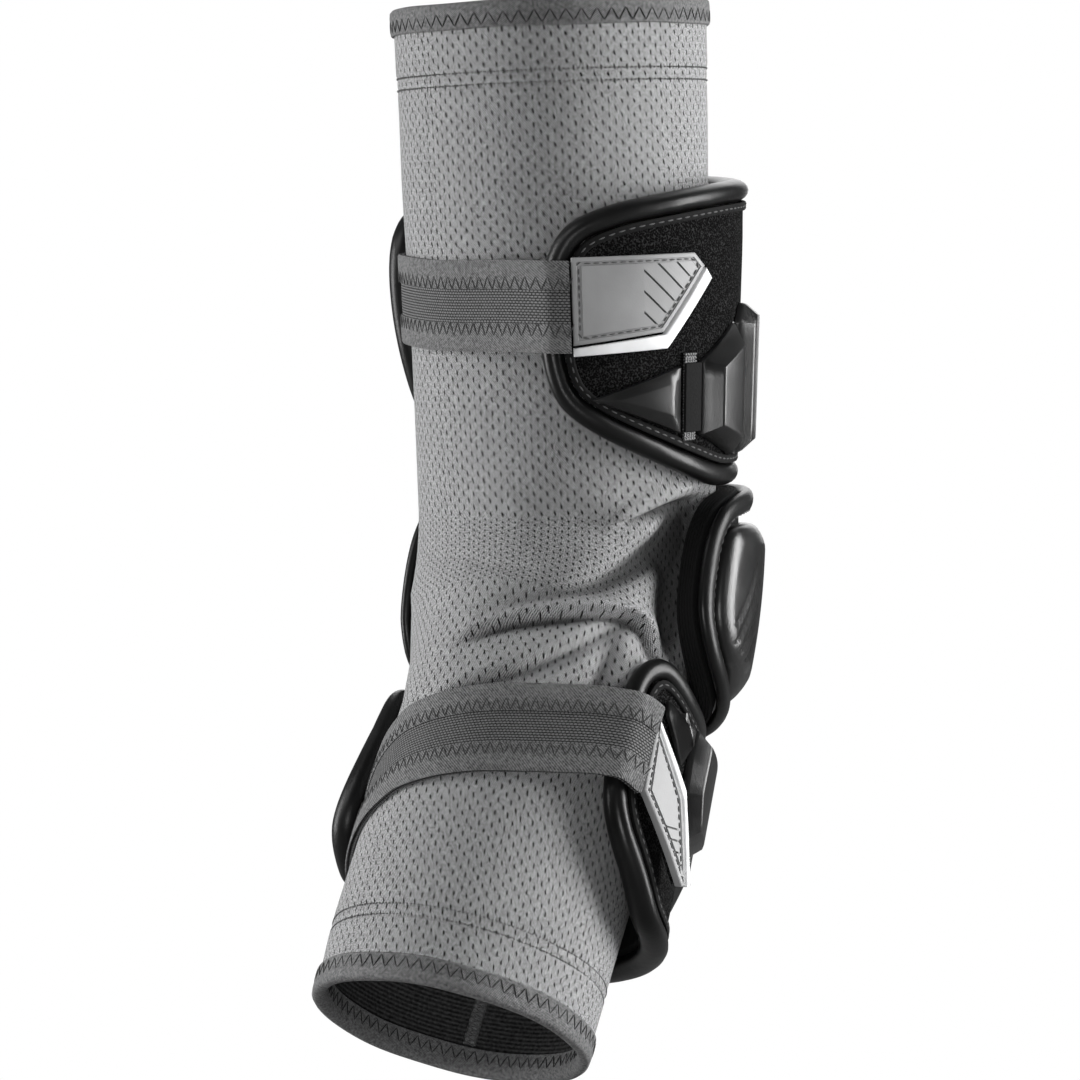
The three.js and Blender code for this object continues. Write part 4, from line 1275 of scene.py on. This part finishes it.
def make_strap(shield):
    """Woven elastic with a tape along each edge, and the zigzag that holds each tape."""
    strap = STRAP_ROUTES[shield.name]
    name = shield.name
    end = strap["end"] - float(to_degrees(0.6))
    degrees = np.linspace(STRAP_START, end, 180)
    middle, height, widened = strap_line(shield, degrees)
    middle = middle + 0.25 * np.sin(np.radians(degrees * 5.3))
    line = (middle, height, widened)
    whole = (-STRAP_HALF, STRAP_HALF)
    ribbon(name + "_elastic", degrees, whole, 0, STRAP_THICKNESS, line, ELASTIC, name + "_strap")
    near, far = TAPE_EDGES
    for label, edges in (("high", (near, far)), ("low", (-far, -near))):
        ribbon(
            f"{name}_{label}_edge_tape", degrees, edges, 1.4, 0.6, line, TAPE,
            f"{name}_strap_{label}_tape", 0.12,
        )
    lines = []
    for offset in (ZIGZAG_OFFSET, -ZIGZAG_OFFSET):
        lines.append((np.stack([to_distance(degrees), middle + offset * widened], -1), False))

    def tape_top(around, along):
        return np.interp(around, degrees, height) + 2.12

    sew(name + "_strap_zigzag", lines, DARK_THREAD, 1.55, 4.1, 0.4, 0.7, 68.0, tape_top)


TAB_CORNERS = [(0, 1), (0.84, 1), (0.93, 0.86), (0.6, 0.21), (0, 0.11)]
TRIM_CORNERS = [(0, 0), (0.63, 0.04), (1, 0.73), (0.945, 0.84), (0.615, 0.185), (0, 0.085)]
HOOK_CORNERS = [(0, 0.02), (0.62, 0.06), (0.97, 0.73), (0.84, 0.97), (0, 0.97)]
# Sizes in millimetres and the tab's slope in degrees. The ribs begin at a line through "split" that
# faces "forward", and are counted from "origin" along "rib_way". Both places are from the strap's end.
TAB_SHAPES = {
    "upper": {
        "length": 40.4, "width": 28.0, "slope": 0, "flip": 1, "lift": 0,
        "split": (18.5, 0), "forward": (1.0, 0.0), "origin": (18.5, -14.0),
        "rib_way": (math.sin(math.radians(46)), math.cos(math.radians(46))), "rib_pitch": 4.1, "ribs": 12,
    },
    "forearm": {
        "length": 33.15, "width": 22.96, "slope": -47, "flip": -1, "lift": 7.0,
        "split": (13.0, -14.0), "forward": (0.72, -0.69), "origin": (13.0, -14.0),
        "rib_way": (0.25, -0.97), "rib_pitch": 3.2, "ribs": 10,
    },
}
CHANNEL_FLOOR = 1.5
RIB_GAP = 0.28


def clip_convex(outline, point, normal):
    """The part of a convex outline on the side of the line that normal points to."""
    kept = []
    for a, b in zip(outline, np.roll(outline, -1, axis=0)):
        da, db = (a - point) @ normal, (b - point) @ normal
        if da >= 0:
            kept.append(a)
        if (da > 0) != (db > 0) and abs(da - db) > 1e-9:
            kept.append(a + (b - a) * da / (da - db))
    return np.array(kept)


def make_tab(shield):
    """A rubber tab on its hook backing: a white lower edge, a sewn border, a bare panel and ribs."""
    name = shield.name
    shape = TAB_SHAPES[name]
    strap = STRAP_ROUTES[name]
    start = np.array([to_distance(strap["end"]), shield.along(strap["route"][-1][1])])
    slope = math.radians(shape["slope"])

    def place(corners):
        points = []
        for forward, across in corners:
            reach = forward * shape["length"]
            x = start[0] + reach * math.cos(slope)
            y = start[1] + reach * math.sin(slope) + shape["flip"] * (across - 0.5) * shape["width"]
            points.append((x, y))
        return np.array(points)

    def under(around, along):
        share = np.maximum((to_distance(around) - start[0]) / shape["length"], 0)
        return shield.plate_seat(around, along) + GAP + shape["lift"] * share**1.3

    def on_top(around, along):
        return under(around, along) + HOOK_THICKNESS + GAP

    def add(label, outline, rings, material, slot_name, base, step=2.5):
        return wrap(f"{name}_{label}", slab(outline, rings, step), material, base, sharp=45)

    rings = [(0, 0), (0, 0.7), (0.2, 0.9)]
    hook = add("hook_backing", place(HOOK_CORNERS), rings, LOOP_CLOTH, "loop_fabric", under)
    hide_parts(name + "_tab_hook")
    body = place(TAB_CORNERS)
    rings = [(0, 0), (0, 1.7), (0.12, 1.95), (0.4, 2.1), (1.2, 2.1), (1.35, 1.75), (2.15, 1.7), (2.2, 1.55)]
    tab = add("rubber_tab", body, rings, RUBBER, "rubber", on_top)
    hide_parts(name + "_tab")
    trim = place(TRIM_CORNERS)
    rings = [(0, 0), (0, 1.75), (0.1, 2.0), (0.35, 2.15)]
    white = add("white_edge", trim, rings, WHITE_RUBBER, "white_rubber", on_top, 2.0)
    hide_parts(name + "_tab_trim")
    # The raised face inside the stitched channel: a bare panel, then ribs between slanted grooves.
    face = anticlockwise(inset(body, 2.45))
    split, forward = start + np.array(shape["split"]), np.array(shape["forward"])
    origin, rib_way = start + np.array(shape["origin"]), np.array(shape["rib_way"])
    pitch, count = shape["rib_pitch"], shape["ribs"]
    rings = [(0, 0), (0, 0.6)]

    def face_base(around, along):
        return on_top(around, along) + CHANNEL_FLOOR

    panel = clip_convex(face, split, -forward)
    add("plain_panel", panel, rings, RUBBER, "rubber", face_base)
    ribbed = clip_convex(face, split, forward)
    # A dark sheet under the ribs paints shade into the grooves between them.
    add("groove_shade_sheet", inset(ribbed, 0.25), [(0, 0), (0, 0.2)], GROOVE_SHADE, "rubber", face_base)
    made = 0
    for k in range(-count, count):
        strip = clip_convex(ribbed, origin + rib_way * (k * pitch + RIB_GAP), rib_way)
        if len(strip) < 3:
            continue
        strip = clip_convex(strip, origin + rib_way * ((k + 1) * pitch - RIB_GAP), -rib_way)
        if len(strip) < 3 or abs(area_of(strip)) < 1.2:
            continue
        made += 1
        add(f"rib_{made}", strip, rings, RUBBER, "rubber", face_base)
    channel = even(inset(body, 1.75), 120)
    sew(
        name + "_tab_stitches", [(channel, True)], GREY_THREAD, 2.3, 1.7, 0.5, 0.9, 0.0,
        lambda a, s: on_top(a, s) + 1.85,
    )


# Studio
def aim(lamp, azimuth, elevation, distance=0.0):
    """Points a lamp at the part from so many metres away. A sun shines alike from anywhere."""
    back = bearing(math.radians(azimuth), math.radians(elevation))
    lamp.location = back * distance
    lamp.rotation_euler = back.to_track_quat("Z", "Y").to_euler()


def sun(name, azimuth, elevation, strength, spread):
    """A broad soft light from far off."""
    data = bpy.data.lights.new(name, "SUN")
    data.energy = strength
    data.angle = math.radians(spread)
    aim(add_object(name, data), azimuth, elevation)


def softbox(name, azimuth, elevation, distance, size, power):
    """A lit panel, its size in metres and its power in watts."""
    data = bpy.data.lights.new(name, "AREA")
    data.shape = "RECTANGLE"
    data.size, data.size_y = size
    data.energy = power
    aim(add_object(name, data), azimuth, elevation, distance)


def pale_floor():
    """White where the camera sees it, and a soft bounce for the pad."""
    shade = Shade("pale_floor", (0.18, 0.18, 0.18), 0.95, specular=0.0)
    glow = shade.node("ShaderNodeEmission", color=(1, 1, 1, 1), strength=1.0)
    shade.feed(shade.tree.nodes["Material Output"].inputs["Surface"], shade.seen_as(glow, shade.shader))
    return shade.material


def make_floor():
    level, reach = -0.36, 30.0
    mesh = bpy.data.meshes.new("floor")
    corners = [(x * reach, y * reach, level) for x, y in ((-1, -1), (1, -1), (1, 1), (-1, 1))]
    mesh.from_pydata(corners, [], [(0, 1, 2, 3)])
    mesh.materials.append(pale_floor())
    floor = add_object("floor", mesh)


def make_world():
    """White where the camera sees it, and a faint fill for the pad."""
    world = bpy.data.worlds.new("studio")
    world.use_nodes = True
    world.node_tree.nodes.clear()
    add = Nodes(world.node_tree)
    white = add.node("ShaderNodeBackground", color=(1, 1, 1, 1), strength=1.0)
    fill = add.node("ShaderNodeBackground", color=(0.96, 0.98, 1, 1), strength=0.1)
    add.node("ShaderNodeOutputWorld", surface=add.seen_as(white, fill))
    bpy.context.scene.world = world


def light_studio():
    """Bright rims from both sides and above, and little from the front."""
    sun("high_sun", -38, 46, 0.62, 24)
    sun("back_sun", 200, 50, 0.8, 50)
    softbox("left_softbox", -64, 6, 1.2, (0.5, 1.1), 19.5)
    softbox("right_softbox", 116, 4, 1.2, (0.5, 1.2), 32)
    softbox("front_softbox", 25, 0, 1.35, (0.2, 0.4), 5.4)
    softbox("back_softbox", 205, 20, 1.3, (0.9, 1.1), 6)
    scene = bpy.context.scene
    scene.view_settings.view_transform = "Standard"
    scene.view_settings.look = "None"


sleeve = make_sleeve()
tapes = make_bindings()
make_hem_stitches()
make_inner_seam()
for shield, plates in ((UPPER, UPPER_PLATES), (LOWER, LOWER_PLATES)):
    make_shield(shield)
    make_plates(shield, plates)
    make_strap(shield)
    make_tab(shield)
make_hinge()
make_elbow()
make_floor()
make_world()
light_studio()
